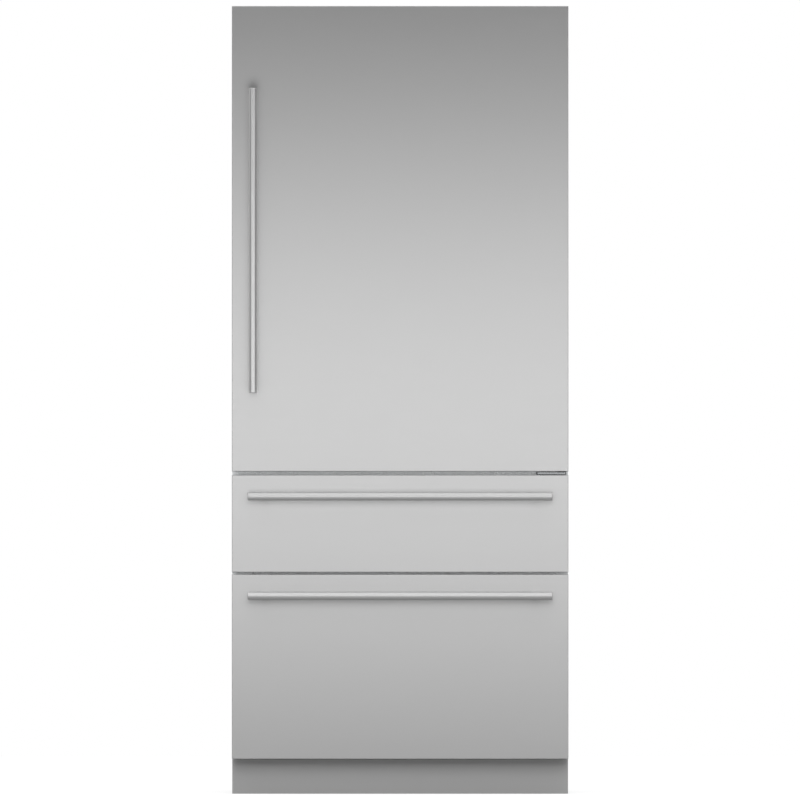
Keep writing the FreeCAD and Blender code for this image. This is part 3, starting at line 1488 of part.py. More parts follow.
def build():
    for name, low, high in (
        ("lower", "toe_height", "lower_top"),
        ("upper", "upper_bottom", "upper_top"),
    ):
        front_panel(f"{name}_panel", low, high)
        drawer_inner(f"{name}_inner", low, high)
        gasket(f"{name}_gasket", f"{low} + inner_reveal", f"{high} - inner_reveal")
        drawer_handle(f"{name}_handle", high)
    front_panel("door_panel", "door_bottom", "overall_height")
    door_inner()
    gasket("door_gasket", "door_inner_bottom", "door_inner_top")
    door_handle()
    hinge_bushings()
    top_hinge()
    bottom_hinge()
    outer_shell()
    rear_panel()
    insulation()
    fresh_food_liner()
    freezer_liner()
    freezer_mullion()
    fixing_brackets()
    base_tray()
    toe_kick()
    machine_cover()
    foot("left_foot", "-foot_x")
    foot("right_foot", "foot_x")
    roller_forks()
    roller("left_roller", "-foot_x")
    roller("right_roller", "foot_x")
    air_duct_panel()
    shelf_ladders()
    shelves()
    light_columns()
    control_panel()
    crisper("left_crisper", "crisper_side_play - fresh_side", "-crisper_middle_play")
    crisper("right_crisper", "crisper_middle_play", "fresh_side - crisper_side_play")
    group("door_bins", *[door_bin(f"door_bin_{i}", level) for i, level in enumerate(bin_bottoms())])
    dairy_bin()
    dairy_lid()
    freezer_air_panel()
    slide_outer_rails()
    for name in ("upper", "lower"):
        middle_slides(f"{name}_slide_mid", f"{name}_slide_level")
        inner_slides(f"{name}_slide_inner", f"{name}_slide_level")
    upper_bin()
    lower_bin()
    lower_tray()
    coils()
    fans()
    compressor()
    drip_pan()


def check():
    """Stops if a feature failed, or a sub-part has no sound solid."""
    for item in doc.Objects:
        if {"Invalid", "Error"} & set(item.State):
            raise RuntimeError(f"{item.Name} failed: {item.State}")
    for item in PIECES:
        shape = item.Shape
        if shape.isNull() or not shape.isValid() or not shape.Solids:
            raise RuntimeError(f"{item.Label} has no sound solid")


def export():
    os.makedirs("parts", exist_ok=True)
    for item in PIECES:
        item.Shape.exportStep(f"parts/{item.Label}.step")


build()
doc.recompute()
check()
export()
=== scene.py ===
"""The looks of the refrigerator: a finish for every CAD node, trim and fasteners, the studio and the camera.

Metres, in the CAD frame: +Z up, the front faces -Y, the door's hinges are on the +X side.
"""
import math

import bmesh
import bpy
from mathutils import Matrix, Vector


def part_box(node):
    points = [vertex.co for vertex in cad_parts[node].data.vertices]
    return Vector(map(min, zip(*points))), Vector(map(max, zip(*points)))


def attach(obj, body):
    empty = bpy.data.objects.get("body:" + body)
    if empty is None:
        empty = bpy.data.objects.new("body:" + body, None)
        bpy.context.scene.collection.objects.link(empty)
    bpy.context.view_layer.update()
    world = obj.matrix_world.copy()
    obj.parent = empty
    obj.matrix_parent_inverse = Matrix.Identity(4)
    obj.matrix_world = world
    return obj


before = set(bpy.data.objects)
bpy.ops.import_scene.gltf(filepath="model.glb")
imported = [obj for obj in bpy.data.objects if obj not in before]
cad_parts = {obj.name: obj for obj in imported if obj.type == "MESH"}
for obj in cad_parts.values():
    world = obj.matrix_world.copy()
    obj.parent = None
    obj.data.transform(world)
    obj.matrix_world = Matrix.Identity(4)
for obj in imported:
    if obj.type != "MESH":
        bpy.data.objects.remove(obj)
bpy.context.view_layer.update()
MM = 0.001


# Finishes
QUARTER_TURN = 0.25


def linear(hex_colour):
    """An sRGB hex colour as linear RGBA."""
    parts = [int(hex_colour[i:i + 2], 16) / 255 for i in (1, 3, 5)]
    return tuple(p / 12.92 if p <= 0.04045 else ((p + 0.055) / 1.055) ** 2.4 for p in parts) + (1.0,)


def add(tree, kind, inputs=None, **settings):
    """Adds a node with its settings. Each input takes a value, or a socket that is linked to it."""
    node = tree.nodes.new(kind)
    for name, setting in settings.items():
        setattr(node, name, setting)
    for name, given in (inputs or {}).items():
        if isinstance(given, bpy.types.NodeSocket):
            tree.links.new(given, node.inputs[name])
        else:
            node.inputs[name].default_value = given
    return node


def finish(name, colour, roughness, **sockets):
    """A material with one Principled shader. Sockets are named in lower case with underscores."""
    material = bpy.data.materials.new(name)
    material.use_nodes = True
    tree = material.node_tree
    shader = tree.nodes["Principled BSDF"]
    shader.inputs["Base Color"].default_value = linear(colour)
    shader.inputs["Roughness"].default_value = roughness
    for socket, value in sockets.items():
        shader.inputs[socket.replace("_", " ").title().replace("Ior", "IOR")].default_value = value
    return material, tree, shader


def pattern(tree, sizes, detail=2.0):
    """Noise whose blots are sizes (x, y, z) millimetres across, fixed to the piece."""
    place = add(tree, "ShaderNodeTexCoord").outputs["Object"]
    scaled = add(tree, "ShaderNodeMapping", {"Vector": place, "Scale": [1 / (size * MM) for size in sizes]})
    noise = {"Vector": scaled.outputs["Vector"], "Scale": 1.0, "Detail": detail, "Roughness": 0.55}
    return add(tree, "ShaderNodeTexNoise", noise).outputs["Fac"]


def vary_roughness(tree, shader, source, spread):
    """Roughness that follows a pattern, by spread either side of the shader's own."""
    middle = shader.inputs["Roughness"].default_value
    ends = {"Value": source, "To Min": middle - spread, "To Max": middle + spread}
    tree.links.new(add(tree, "ShaderNodeMapRange", ends).outputs["Result"], shader.inputs["Roughness"])


def vary_colour(tree, shader, source, dark, light):
    """Base colour that runs between two sRGB colours with a pattern."""
    ramp = add(tree, "ShaderNodeValToRGB", {"Fac": source})
    for element, place, colour in zip(ramp.color_ramp.elements, (0.3, 0.7), (dark, light)):
        element.position = place
        element.color = linear(colour)
    tree.links.new(ramp.outputs["Color"], shader.inputs["Base Color"])


def raise_grain(tree, shader, source, depth):
    """Bump of a depth in millimetres."""
    bump = add(tree, "ShaderNodeBump", {"Height": source, "Strength": 1.0, "Distance": depth * MM})
    tree.links.new(bump.outputs["Normal"], shader.inputs["Normal"])


def brushed_metal(name, colour, roughness, axis, anisotropy, turn):
    """Bare metal whose glow is drawn out by lines about an axis. Turn is a share of a whole turn."""
    sheen = {"metallic": 1.0, "anisotropic": anisotropy, "anisotropic_rotation": turn}
    material, tree, shader = finish(name, colour, roughness, **sheen)
    lay = add(tree, "ShaderNodeTangent", direction_type="RADIAL", axis=axis)
    tree.links.new(lay.outputs["Tangent"], shader.inputs["Tangent"])
    return material, tree, shader


def belt_brushed_steel(name, colour, roughness):
    """Stainless steel, belt-brushed along its width. The hairlines draw each glow out upright. Real hairlines
    are 0.2 mm apart: they are drawn ten times as coarse, so that they just show."""
    material, tree, shader = brushed_metal(name, colour, roughness, "Z", 0.62, QUARTER_TURN)
    hairlines = pattern(tree, (260, 260, 2), 3.0)
    vary_roughness(tree, shader, hairlines, 0.035)
    raise_grain(tree, shader, hairlines, 0.004)
    return material


def ground_bar_steel(name, colour, axis, across, along, anisotropy):
    """Stainless bar, ground on a belt. The glow spreads across the lines that the grit leaves. Real lines are
    0.1 mm apart: they are drawn some fifteen times as coarse, so that they just show."""
    turn = QUARTER_TURN if along < across else 0.0
    material, tree, shader = brushed_metal(name, colour, 0.42, axis, anisotropy, turn)
    lines = pattern(tree, [along if letter == axis else across for letter in "XYZ"], 3.0)
    vary_roughness(tree, shader, lines, 0.03)
    raise_grain(tree, shader, lines, 0.002)
    return material


def lacquered_steel(name, colour):
    """Coil-coated steel with aluminium flake in its lacquer. A soft sheen over a fine even sparkle, whose
    flakes are drawn some thirty times their real size."""
    material, tree, shader = finish(name, colour, 0.28, metallic=0.9)
    flakes = pattern(tree, (1.5, 1.5, 1.5), 1.0)
    raise_grain(tree, shader, flakes, 0.01)
    vary_roughness(tree, shader, flakes, 0.05)
    return material


def galvanised_sheet():
    """Hot-dip galvanised sheet. Zinc crystals some 10 mm across give each patch its own grey and gloss."""
    material, tree, shader = finish("galvanised_sheet", "#B4B8BB", 0.42, metallic=1.0)
    place = add(tree, "ShaderNodeTexCoord").outputs["Object"]
    crystals = add(tree, "ShaderNodeTexVoronoi", {"Vector": place, "Scale": 1 / (10 * MM)}).outputs["Color"]
    grey = add(tree, "ShaderNodeRGBToBW", {"Color": crystals}).outputs["Val"]
    vary_colour(tree, shader, grey, "#B0B4B7", "#B8BCBE")
    vary_roughness(tree, shader, grey, 0.03)
    return material


def rigid_foam():
    """Polyurethane foam, poured and cut. Cream, dull and full of small cells."""
    material, tree, shader = finish("rigid_foam", "#E3D3A4", 0.92)
    cells = pattern(tree, (2.5, 2.5, 2.5), 4.0)
    raise_grain(tree, shader, cells, 0.6)
    vary_colour(tree, shader, cells, "#D6C592", "#EBDDB4")
    return material


def formed_polystyrene():
    """High-impact polystyrene, vacuum-formed. A clean white with a soft sheen and a faint ripple."""
    material, tree, shader = finish("formed_polystyrene", "#E9EBEC", 0.34, ior=1.59)
    raise_grain(tree, shader, pattern(tree, (9, 9, 9), 1.0), 0.03)
    vary_roughness(tree, shader, pattern(tree, (160, 160, 160)), 0.04)
    return material


def formed_abs():
    """ABS, vacuum-formed over the foamed fronts. White, a little warmer and duller than the liners."""
    material, tree, shader = finish("formed_abs", "#E4E5E4", 0.42, ior=1.54)
    raise_grain(tree, shader, pattern(tree, (1.4, 1.4, 1.4), 2.0), 0.02)
    vary_roughness(tree, shader, pattern(tree, (160, 160, 160)), 0.04)
    return material


def extruded_seal():
    """Soft PVC, extruded. Mid grey and dull, with die lines along the seal and a bloom of paler wax."""
    material, tree, shader = finish("extruded_seal", "#85888A", 0.6)
    raise_grain(tree, shader, pattern(tree, (40, 1.2, 40), 1.0), 0.12)
    vary_colour(tree, shader, pattern(tree, (60, 60, 60), 3.0), "#7E8183", "#8F9294")
    return material


def zinc_plated_steel(name, dark, light):
    """Pressed steel, zinc-plated and passivated. Bright, with a cloudy bluish bloom."""
    material, tree, shader = finish(name, light, 0.34, metallic=1.0)
    bloom = pattern(tree, (24, 24, 24), 4.0)
    vary_colour(tree, shader, bloom, dark, light)
    vary_roughness(tree, shader, bloom, 0.08)
    return material


def moulded_acetal():
    """Acetal, injection-moulded. Near-black with a waxy sheen and spark-eroded grain."""
    material, tree, shader = finish("moulded_acetal", "#2B2C2E", 0.5, ior=1.48)
    raise_grain(tree, shader, pattern(tree, (0.8, 0.8, 0.8), 3.0), 0.04)
    vary_colour(tree, shader, pattern(tree, (30, 30, 30), 3.0), "#262729", "#333437")
    return material


def clear_san():
    """Styrene acrylonitrile, injection-moulded clear. A cool tint, with flow waviness in its reflections."""
    material, tree, shader = finish("clear_san", "#F6FAFB", 0.04, ior=1.57, transmission_weight=1.0)
    raise_grain(tree, shader, pattern(tree, (35, 35, 35), 1.0), 0.03)
    vary_roughness(tree, shader, pattern(tree, (90, 90, 90)), 0.02)
    return material


def milky_san():
    """Styrene acrylonitrile with white pigment, injection-moulded. Cold white, with light below its skin."""
    depth = {"subsurface_weight": 0.15, "subsurface_scale": 6 * MM}
    material, tree, shader = finish("milky_san", "#E3E7E9", 0.3, ior=1.57, **depth)
    raise_grain(tree, shader, pattern(tree, (1.1, 1.1, 1.1), 2.0), 0.015)
    vary_roughness(tree, shader, pattern(tree, (120, 120, 120)), 0.05)
    return material


def tempered_glass():
    """Float glass, tempered. Clear, with a green cast and a faint roller wave."""
    material, tree, shader = finish("tempered_glass", "#EDF5F1", 0.015, ior=1.52, transmission_weight=1.0)
    raise_grain(tree, shader, pattern(tree, (300, 60, 300), 0.0), 0.01)
    return material


def opal_diffuser():
    """Opal acrylic over a row of lamps 22 mm apart. It glows, a little more in front of each lamp."""
    material, tree, shader = finish("opal_diffuser", "#F3F3EE", 0.38, ior=1.49)
    shader.inputs["Emission Color"].default_value = linear("#FFF9EC")
    place = add(tree, "ShaderNodeTexCoord").outputs["Object"]
    scaled = add(tree, "ShaderNodeMapping", {"Vector": place, "Scale": (0, 0, math.pi / 10 / (22 * MM))})
    waves = {"Vector": scaled.outputs["Vector"], "Scale": 1.0}
    row = add(tree, "ShaderNodeTexWave", waves, bands_direction="Z").outputs["Fac"]
    glow = add(tree, "ShaderNodeMapRange", {"Value": row, "To Min": 1.5, "To Max": 2.3})
    tree.links.new(glow.outputs["Result"], shader.inputs["Emission Strength"])
    return material


def black_glass():
    """Back-printed glass. Deep black under a clean hard gloss."""
    material, tree, shader = finish("black_glass", "#0C0D0F", 0.06, ior=1.52)
    vary_roughness(tree, shader, pattern(tree, (70, 70, 70), 3.0), 0.025)
    return material


def mill_aluminium():
    """Drawn aluminium tube and foil, as it leaves the mill. Pale, with streaks along the draw."""
    material, tree, shader = finish("mill_aluminium", "#CBCDCF", 0.36, metallic=1.0)
    streaks = pattern(tree, (120, 4, 4), 3.0)
    vary_colour(tree, shader, streaks, "#BDBFC2", "#D3D5D6")
    vary_roughness(tree, shader, streaks, 0.07)
    return material


def black_enamel():
    """Stove enamel on pressed steel. Black and glossy, with a slight orange peel."""
    material, tree, shader = finish("black_enamel", "#16171A", 0.22, coat_weight=0.4, coat_roughness=0.08)
    raise_grain(tree, shader, pattern(tree, (5, 5, 5), 1.0), 0.04)
    return material


def moulded_polypropylene(name, dark, light):
    """Polypropylene, injection-moulded. Dull, with a fine etched grain."""
    material, tree, shader = finish(name, dark, 0.55, ior=1.49)
    raise_grain(tree, shader, pattern(tree, (0.9, 0.9, 0.9), 3.0), 0.04)
    vary_colour(tree, shader, pattern(tree, (45, 45, 45), 3.0), dark, light)
    return material


def satin_anodised_aluminium():
    """Aluminium strip, brushed along and anodised. A pale satin line with a crisp edge."""
    material, tree, shader = finish("satin_anodised_aluminium", "#DCDEDF", 0.34, metallic=0.75)
    lines = pattern(tree, (90, 1.5, 1.5), 2.0)
    vary_roughness(tree, shader, lines, 0.05)
    raise_grain(tree, shader, lines, 0.003)
    return material


def screen_ink():
    """Enamel ink, screen-printed. Pale and dull, a little uneven where the mesh laid it thin."""
    material, tree, shader = finish("screen_ink", "#C9CDCF", 0.6)
    vary_colour(tree, shader, pattern(tree, (0.9, 0.9, 0.9), 2.0), "#BFC3C6", "#D2D5D7")
    return material


FRONT_STEEL = belt_brushed_steel("brushed_front_steel", "#C9C9C9", 0.39)
# The toe kick's steel is the fronts' brushed steel painted darker: painted shade for its recess under the
# drawer.
SHADED_PLINTH_STEEL = belt_brushed_steel("shaded_brushed_plinth_steel", "#C0C0C0", 0.44)
# The door's bar and the drawers' bars are one ground steel in two tones: the door's bar is painted lighter
# and the drawers' bars darker, as painted light and shade.
LIT_DOOR_BAR_STEEL = ground_bar_steel("lit_upright_bar_steel", "#DEDEDE", "Z", 40, 1.6, 0.8)
SHADED_DRAWER_BAR_STEEL = ground_bar_steel("shaded_level_bar_steel", "#D0D0D0", "X", 1.6, 40, 0.5)
SHELL_LACQUER = lacquered_steel("silver_lacquered_steel", "#C8CACB")
# The bottom hinge's lacquer is a grey darkened to the tone of the shaded gap between door and drawer: painted
# shade.
GAP_SHADE_HINGE_LACQUER = lacquered_steel("gap_shade_grey_lacquered_steel", "#9A9C9E")
GALVANISED = galvanised_sheet()
FOAM = rigid_foam()
LINER = formed_polystyrene()
DOOR_LINER = formed_abs()
SEAL = extruded_seal()
HINGE_ZINC = zinc_plated_steel("zinc_hinge_steel", "#A9ADB1", "#C5C8CB")
SLIDE_ZINC = zinc_plated_steel("zinc_slide_steel", "#BBBEC0", "#CACCCE")
ACETAL = moulded_acetal()
CLEAR = clear_san()
MILKY = milky_san()
GLASS = tempered_glass()
OPAL = opal_diffuser()
BLACK_GLASS = black_glass()
ALUMINIUM = mill_aluminium()
ENAMEL = black_enamel()
FAN_PLASTIC = moulded_polypropylene("black_polypropylene", "#202224", "#2A2C2F")
PAN_PLASTIC = moulded_polypropylene("grey_polypropylene", "#47494C", "#525558")
TRIM = satin_anodised_aluminium()
INK = screen_ink()

FINISHES = (
    (FRONT_STEEL, "door_panel upper_panel lower_panel"),
    (SHADED_PLINTH_STEEL, "toe_kick"),
    (LIT_DOOR_BAR_STEEL, "door_handle"),
    (SHADED_DRAWER_BAR_STEEL, "upper_handle lower_handle"),
    (SHELL_LACQUER, "outer_shell freezer_mullion"),
    (GAP_SHADE_HINGE_LACQUER, "bottom_hinge"),
    (GALVANISED, "rear_panel machine_cover base_tray fixing_brackets roller_forks"),
    (FOAM, "insulation"),
    (LINER, "fresh_food_liner freezer_liner air_duct_panel freezer_air_panel shelf_frames"),
    (DOOR_LINER, "door_inner upper_inner lower_inner"),
    (SEAL, "door_gasket upper_gasket lower_gasket"),
    (HINGE_ZINC, "top_hinge shelf_ladders"),
    (SLIDE_ZINC, "slide_outer_rails upper_slide_mid upper_slide_inner lower_slide_mid lower_slide_inner"),
    (ACETAL, "hinge_bushings left_roller right_roller left_foot right_foot"),
    (CLEAR, "left_crisper right_crisper door_bins dairy_bin dairy_lid"),
    (MILKY, "upper_bin lower_bin lower_tray"),
    (GLASS, "shelf_glass"),
    (OPAL, "light_columns"),
    (BLACK_GLASS, "control_panel"),
    (ALUMINIUM, "fresh_evaporator freezer_evaporator condenser_coil"),
    (ENAMEL, "compressor"),
    (FAN_PLASTIC, "condenser_fan_frame condenser_fan_blade fresh_fan_blade freezer_fan_blade fan_motors"),
    (PAN_PLASTIC, "drip_pan"),
)
for material, names in FINISHES:
    for name in names.split():
        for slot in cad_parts[name].material_slots:
            slot.material = material


# Trim and fasteners
CREASE, SAME_POINT = math.radians(35), 0.01 * MM
BACK, UP, FRONT = (0, 1, 0), (0, 0, 1), (0, -1, 0)


def piece(name, mesh, material, body):
    """Puts a finished mesh in the scene as a piece that rides on a body. Edges stay crisp above the crease
    angle."""
    bmesh.ops.recalc_face_normals(mesh, faces=mesh.faces)
    for face in mesh.faces:
        face.smooth = True
    data = bpy.data.meshes.new(name)
    mesh.to_mesh(data)
    mesh.free()
    data.set_sharp_from_angle(angle=CREASE)
    data.materials.append(material)
    made = bpy.data.objects.new(name, data)
    bpy.context.scene.collection.objects.link(made)
    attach(made, body)


def solids(name):
    """The boxes of a node's separate solids, lowest first, then from the front and from the left. A solid's
    faces come unjoined, so they are joined in a copy of the mesh."""
    mesh = bmesh.new()
    mesh.from_mesh(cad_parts[name].data)
    bmesh.ops.remove_doubles(mesh, verts=mesh.verts, dist=SAME_POINT)
    apart, boxes = set(mesh.verts), []
    while apart:
        reached, found = [apart.pop()], []
        while reached:
            vertex = reached.pop()
            found.append(vertex.co.copy())
            joined = {edge.other_vert(vertex) for edge in vertex.link_edges} & apart
            apart -= joined
            reached += joined
        boxes.append([Vector(map(pick, zip(*found))) for pick in (min, max)])
    mesh.free()
    return sorted(boxes, key=lambda box: box[0].to_tuple()[::-1])


def between(low, high, count):
    """Evenly spaced levels from low to high."""
    return [low + (high - low) * i / (count - 1) for i in range(count)]


def arc(u, v, radius, start, stop, steps=8):
    """Points round (u, v), from a start angle to a stop angle in degrees."""
    angles = [math.radians(angle) for angle in between(start, stop, steps + 1)]
    return [(u + radius * math.cos(angle), v + radius * math.sin(angle)) for angle in angles]


def circle(u, v, radius, count):
    """Points all the way round (u, v)."""
    return arc(u, v, radius, 0, 360 - 360 / count, count - 1)


def skin(mesh, outlines, closed=False):
    """Joins a row of like outlines with faces, and caps the ends of a row that isn't closed."""
    loops = [[mesh.verts.new(point) for point in outline] for outline in outlines]
    rows = list(zip(loops, loops[1:]))
    if closed:
        rows.append((loops[-1], loops[0]))
    else:
        mesh.faces.new(loops[0])
        mesh.faces.new(loops[-1])
    for here, there in rows:
        for i, vertex in enumerate(here):
            after = (i + 1) % len(here)
            mesh.faces.new((vertex, here[after], there[after], there[i]))


def strips(name, runs, body):
    """Anodised bars of constant section. Each run has its outline in (y, z) and its two ends in x."""
    mesh = bmesh.new()
    for outline, left, right in runs:
        skin(mesh, [[(x, y, z) for y, z in outline] for x in (left, right)])
    piece(name, mesh, TRIM, body)


# A screw head is a domed grid of cells, pressed in along a cross. Height and recess are shares of its radius.
# The fall says how far the dome comes down at its rim
HEAD_CELLS, ARM_INSET, HEAD_HEIGHT, HEAD_RECESS, HEAD_FALL = 14, 3, 0.42, 0.34, 0.86
SMALL_HEAD, LARGE_HEAD = 4 * MM, 5 * MM


def cross_head(mesh, centre, outward, radius):
    """A domed screw head with a cross recess, on a surface that faces outward. A square grid is drawn out
    into a disc, and its cells lie on the dome or in the recess."""
    turn = Vector(UP).rotation_difference(Vector(outward)).to_matrix()
    made = {}

    def vertex(place, layer):
        """The one vertex at a place of the grid in a layer: dome, recess or foot."""
        if (place, layer) not in made:
            v, u = [2 * step / HEAD_CELLS - 1 for step in place]
            x, y = u * math.sqrt(1 - v * v / 2), v * math.sqrt(1 - u * u / 2)
            dome = HEAD_HEIGHT * math.sqrt(1 - HEAD_FALL * (x * x + y * y))
            rise = {"dome": dome, "recess": dome - HEAD_RECESS, "foot": 0}[layer]
            point = turn @ Vector((x * radius, y * radius, rise * radius))
            made[place, layer] = mesh.verts.new(Vector(centre) + point)
        return made[place, layer]

    middle, arm = (HEAD_CELLS // 2 - 1, HEAD_CELLS // 2), range(ARM_INSET, HEAD_CELLS - ARM_INSET)
    layers = {}
    for i in range(HEAD_CELLS):
        for j in range(HEAD_CELLS):
            sunk = (i in middle and j in arm) or (j in middle and i in arm)
            layers[i, j] = "recess" if sunk else "dome"
    for (i, j), layer in layers.items():
        corners = [(i, j), (i, j + 1), (i + 1, j + 1), (i + 1, j)]
        mesh.faces.new([vertex(corner, layer) for corner in corners])
        beside = [layers.get(cell, "foot") for cell in ((i - 1, j), (i, j + 1), (i + 1, j), (i, j - 1))]
        for here, there, below in zip(corners, corners[1:] + corners[:1], beside):
            if layer == "dome" and below != "dome":
                wall = (here, "dome"), (there, "dome"), (there, below), (here, below)
                mesh.faces.new([vertex(*corner) for corner in wall])
    last = HEAD_CELLS
    rim = [(0, j) for j in range(last)] + [(i, last) for i in range(last)]
    rim += [(last, j) for j in range(last, 0, -1)] + [(i, 0) for i in range(last, 0, -1)]
    mesh.faces.new([vertex(place, "foot") for place in rim])


def screws(name, spots, radius, outward):
    """Zinc-plated screw heads at their spots on the cabinet, as one piece."""
    mesh = bmesh.new()
    for spot in spots:
        cross_head(mesh, spot, outward, radius)
    piece(name, mesh, HINGE_ZINC, "cabinet")


# Screws along the edges of the sheets: their distance from an edge, how far in a row starts where that is
# more, and how many there are in a row
SHEET_EDGE, COVER_INSET, AIR_INSET, SIDE_ROW, END_ROW, SHORT_ROW = 11 * MM, 44 * MM, 22 * MM, 8, 5, 4
low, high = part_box("rear_panel")
sides, levels = (low.x + SHEET_EDGE, high.x - SHEET_EDGE), (low.z + SHEET_EDGE, high.z - SHEET_EDGE)
spots = [(x, high.y, z) for x in sides for z in between(*levels, SIDE_ROW)]
spots += [(x, high.y, z) for x in between(*sides, END_ROW)[1:-1] for z in levels]
low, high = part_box("machine_cover")
spots += [(x, high.y, high.z - SHEET_EDGE) for x in between(*sides, END_ROW)]
sides = low.x + COVER_INSET, high.x - COVER_INSET
spots += [(x, high.y, low.z + SHEET_EDGE) for x in between(*sides, SHORT_ROW)]
screws("rear_panel_screws", spots, SMALL_HEAD, BACK)

# Screws of the top hinge, measured from its left and its rear edge
HINGE_COLUMNS, HINGE_ROWS = (14 * MM, 60 * MM), (14 * MM, 44 * MM)
low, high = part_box("top_hinge")
spots = [(low.x + dx, high.y - dy, high.z) for dx in HINGE_COLUMNS for dy in HINGE_ROWS]
screws("top_hinge_screws", spots, LARGE_HEAD, UP)

# Screws of the fixing straps, measured from a strap's middle and its rear edge
STRAP_SHEET, STRAP_COLUMNS, STRAP_ROW = 2.5 * MM, (-18 * MM, 18 * MM), 30 * MM
spots = []
for low, high in solids("fixing_brackets"):
    middle, seat = (low.x + high.x) / 2, low.z + STRAP_SHEET
    spots += [(middle + dx, high.y - STRAP_ROW, seat) for dx in STRAP_COLUMNS]
screws("bracket_screws", spots, LARGE_HEAD, UP)

low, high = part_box("freezer_air_panel")
sides, levels = (low.x + AIR_INSET, high.x - AIR_INSET), (low.z + SHEET_EDGE, high.z - SHEET_EDGE)
spots = [(x, low.y, z) for x in between(*sides, SHORT_ROW) for z in levels]
screws("air_panel_screws", spots, SMALL_HEAD, FRONT)

# Moulded plugs in the ports through which the foam is poured: radius and rise in millimetres, and the ports'
# places as shares of the rear panel's width and height
PORT_PLUG = ((17, 0), (17, 0.8), (16.2, 1.6), (14.5, 2.0), (12, 2.2), (10.5, 1.9), (9.5, 1.1), (8.5, 0.9))
PORT_INSET, PORT_LEVELS, PLUG_SIDES = 0.28, (0.22, 0.72), 16
low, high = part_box("rear_panel")
inset, height = PORT_INSET * (high.x - low.x), high.z - low.z
mesh = bmesh.new()
for x in (low.x + inset, high.x - inset):
    for z in [low.z + level * height for level in PORT_LEVELS]:
        rounds = [(circle(x, z, radius * MM, PLUG_SIDES), high.y + rise * MM) for radius, rise in PORT_PLUG]
        skin(mesh, [[(u, y, v) for u, v in outline] for outline, y in rounds])
piece("foam_port_plugs", mesh, PAN_PLASTIC, "cabinet")

# Moulded plugs that close the rear ends of the tray's side channels: inset and depth in millimetres
END_PLUG = ((0, -16), (0, -1.4), (0.4, -0.7), (1.2, -0.4), (3.2, -0.4), (3.8, -1.0), (4.2, -3.0))
TRAY_SHEET, TRAY_FLANGE, PLUG_PLAY, PLUG_CORNER = 2 * MM, 22 * MM, 0.1 * MM, 1.5 * MM
low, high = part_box("base_tray")
outer, inner = high.x - TRAY_SHEET - PLUG_PLAY, high.x - TRAY_FLANGE
top, bottom = high.z - TRAY_SHEET - PLUG_PLAY, low.z + TRAY_SHEET + PLUG_PLAY
mesh = bmesh.new()
for side in (-1, 1):
    outlines = []
    for inset, depth in END_PLUG:
        gap = PLUG_CORNER + inset * MM
        outline = []
        for u, v, start in ((outer - gap, top - gap, 0), (inner + gap, top - gap, 90),
                            (inner + gap, bottom + gap, 180), (outer - gap, bottom + gap, 270)):
            outline += arc(u, v, PLUG_CORNER, start, start + 90, 4)
        outlines.append([(side * u, high.y + depth * MM, v) for u, v in outline])
    skin(mesh, outlines)
piece("tray_end_plugs", mesh, FAN_PLASTIC, "cabinet")

# Strips that clip on the shelves' noses. They lap over the top and under the rim
CLIP, HAIR, TRIM_PLAY = 0.9 * MM, 0.05 * MM, 1 * MM
NOSE, RIM, TOP_LAP, UNDER_LAP = 4 * MM, 12 * MM, 9.6 * MM, 7 * MM
runs = []
for low, high in solids("shelf_frames"):
    front, top, bottom = low.y, high.z, high.z - RIM
    bend, above, below = front + NOSE, front + TOP_LAP, front + UNDER_LAP
    section = [(above, top + HAIR), (above, top + CLIP)]
    section += arc(bend, top - NOSE, NOSE + CLIP, 90, 180) + arc(bend, bottom + NOSE, NOSE + CLIP, 180, 270)
    section += [(below, bottom - CLIP), (below, bottom - HAIR)]
    section += arc(bend, bottom + NOSE, NOSE + HAIR, 270, 180) + arc(bend, top - NOSE, NOSE + HAIR, 180, 90)
    runs.append((section, low.x + TRIM_PLAY, high.x - TRIM_PLAY))
strips("shelf_nose_trims", runs, "cabinet")

# Strips along the tops of the crispers' fronts
CRISPER_CORNER, PULL_HEIGHT = 9 * MM, 16 * MM
for side in ("left", "right"):
    low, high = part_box(f"{side}_crisper")
    face, top, bottom = low.y - HAIR, high.z, high.z - PULL_HEIGHT
    section = [(face, bottom), *arc(face, bottom + CLIP, CLIP, 240, 180, 3)]
    section += [*arc(face, top - CLIP, CLIP, 180, 120, 3), (face, top)]
    ends = low.x + CRISPER_CORNER, high.x - CRISPER_CORNER
    strips(f"{side}_crisper_pull", [(section, *ends)], f"{side}_crisper")

# Strips hooked over the rims of the door's bins, whose fronts lean 9 mm out over 96: drop and reach in
# millimetres
RAIL = ((14, 0), (14, 0.5), (13.4, 1.1), (0.6, 1.1), (-0.5, 0.7), (-1, -0.2), (-1, -2.4), (-0.5, -3.2),
        (0.5, -3.6), (6, -3.6), (6, -2.7), (-0.1, -2.7), (-0.1, 0.1), (13, 0.1))
BIN_LEAN, BIN_CORNER = math.atan2(9, 96), 8 * MM
runs = []
for low, high in solids("door_bins"):
    section = []
    for drop, out in RAIL:
        y = high.y + (out * math.cos(BIN_LEAN) - drop * math.sin(BIN_LEAN)) * MM
        z = high.z - (drop * math.cos(BIN_LEAN) + out * math.sin(BIN_LEAN)) * MM
        section.append((y, z))
    runs.append((section, low.x + BIN_CORNER, high.x - BIN_CORNER))
strips("door_bin_rails", runs, "door")

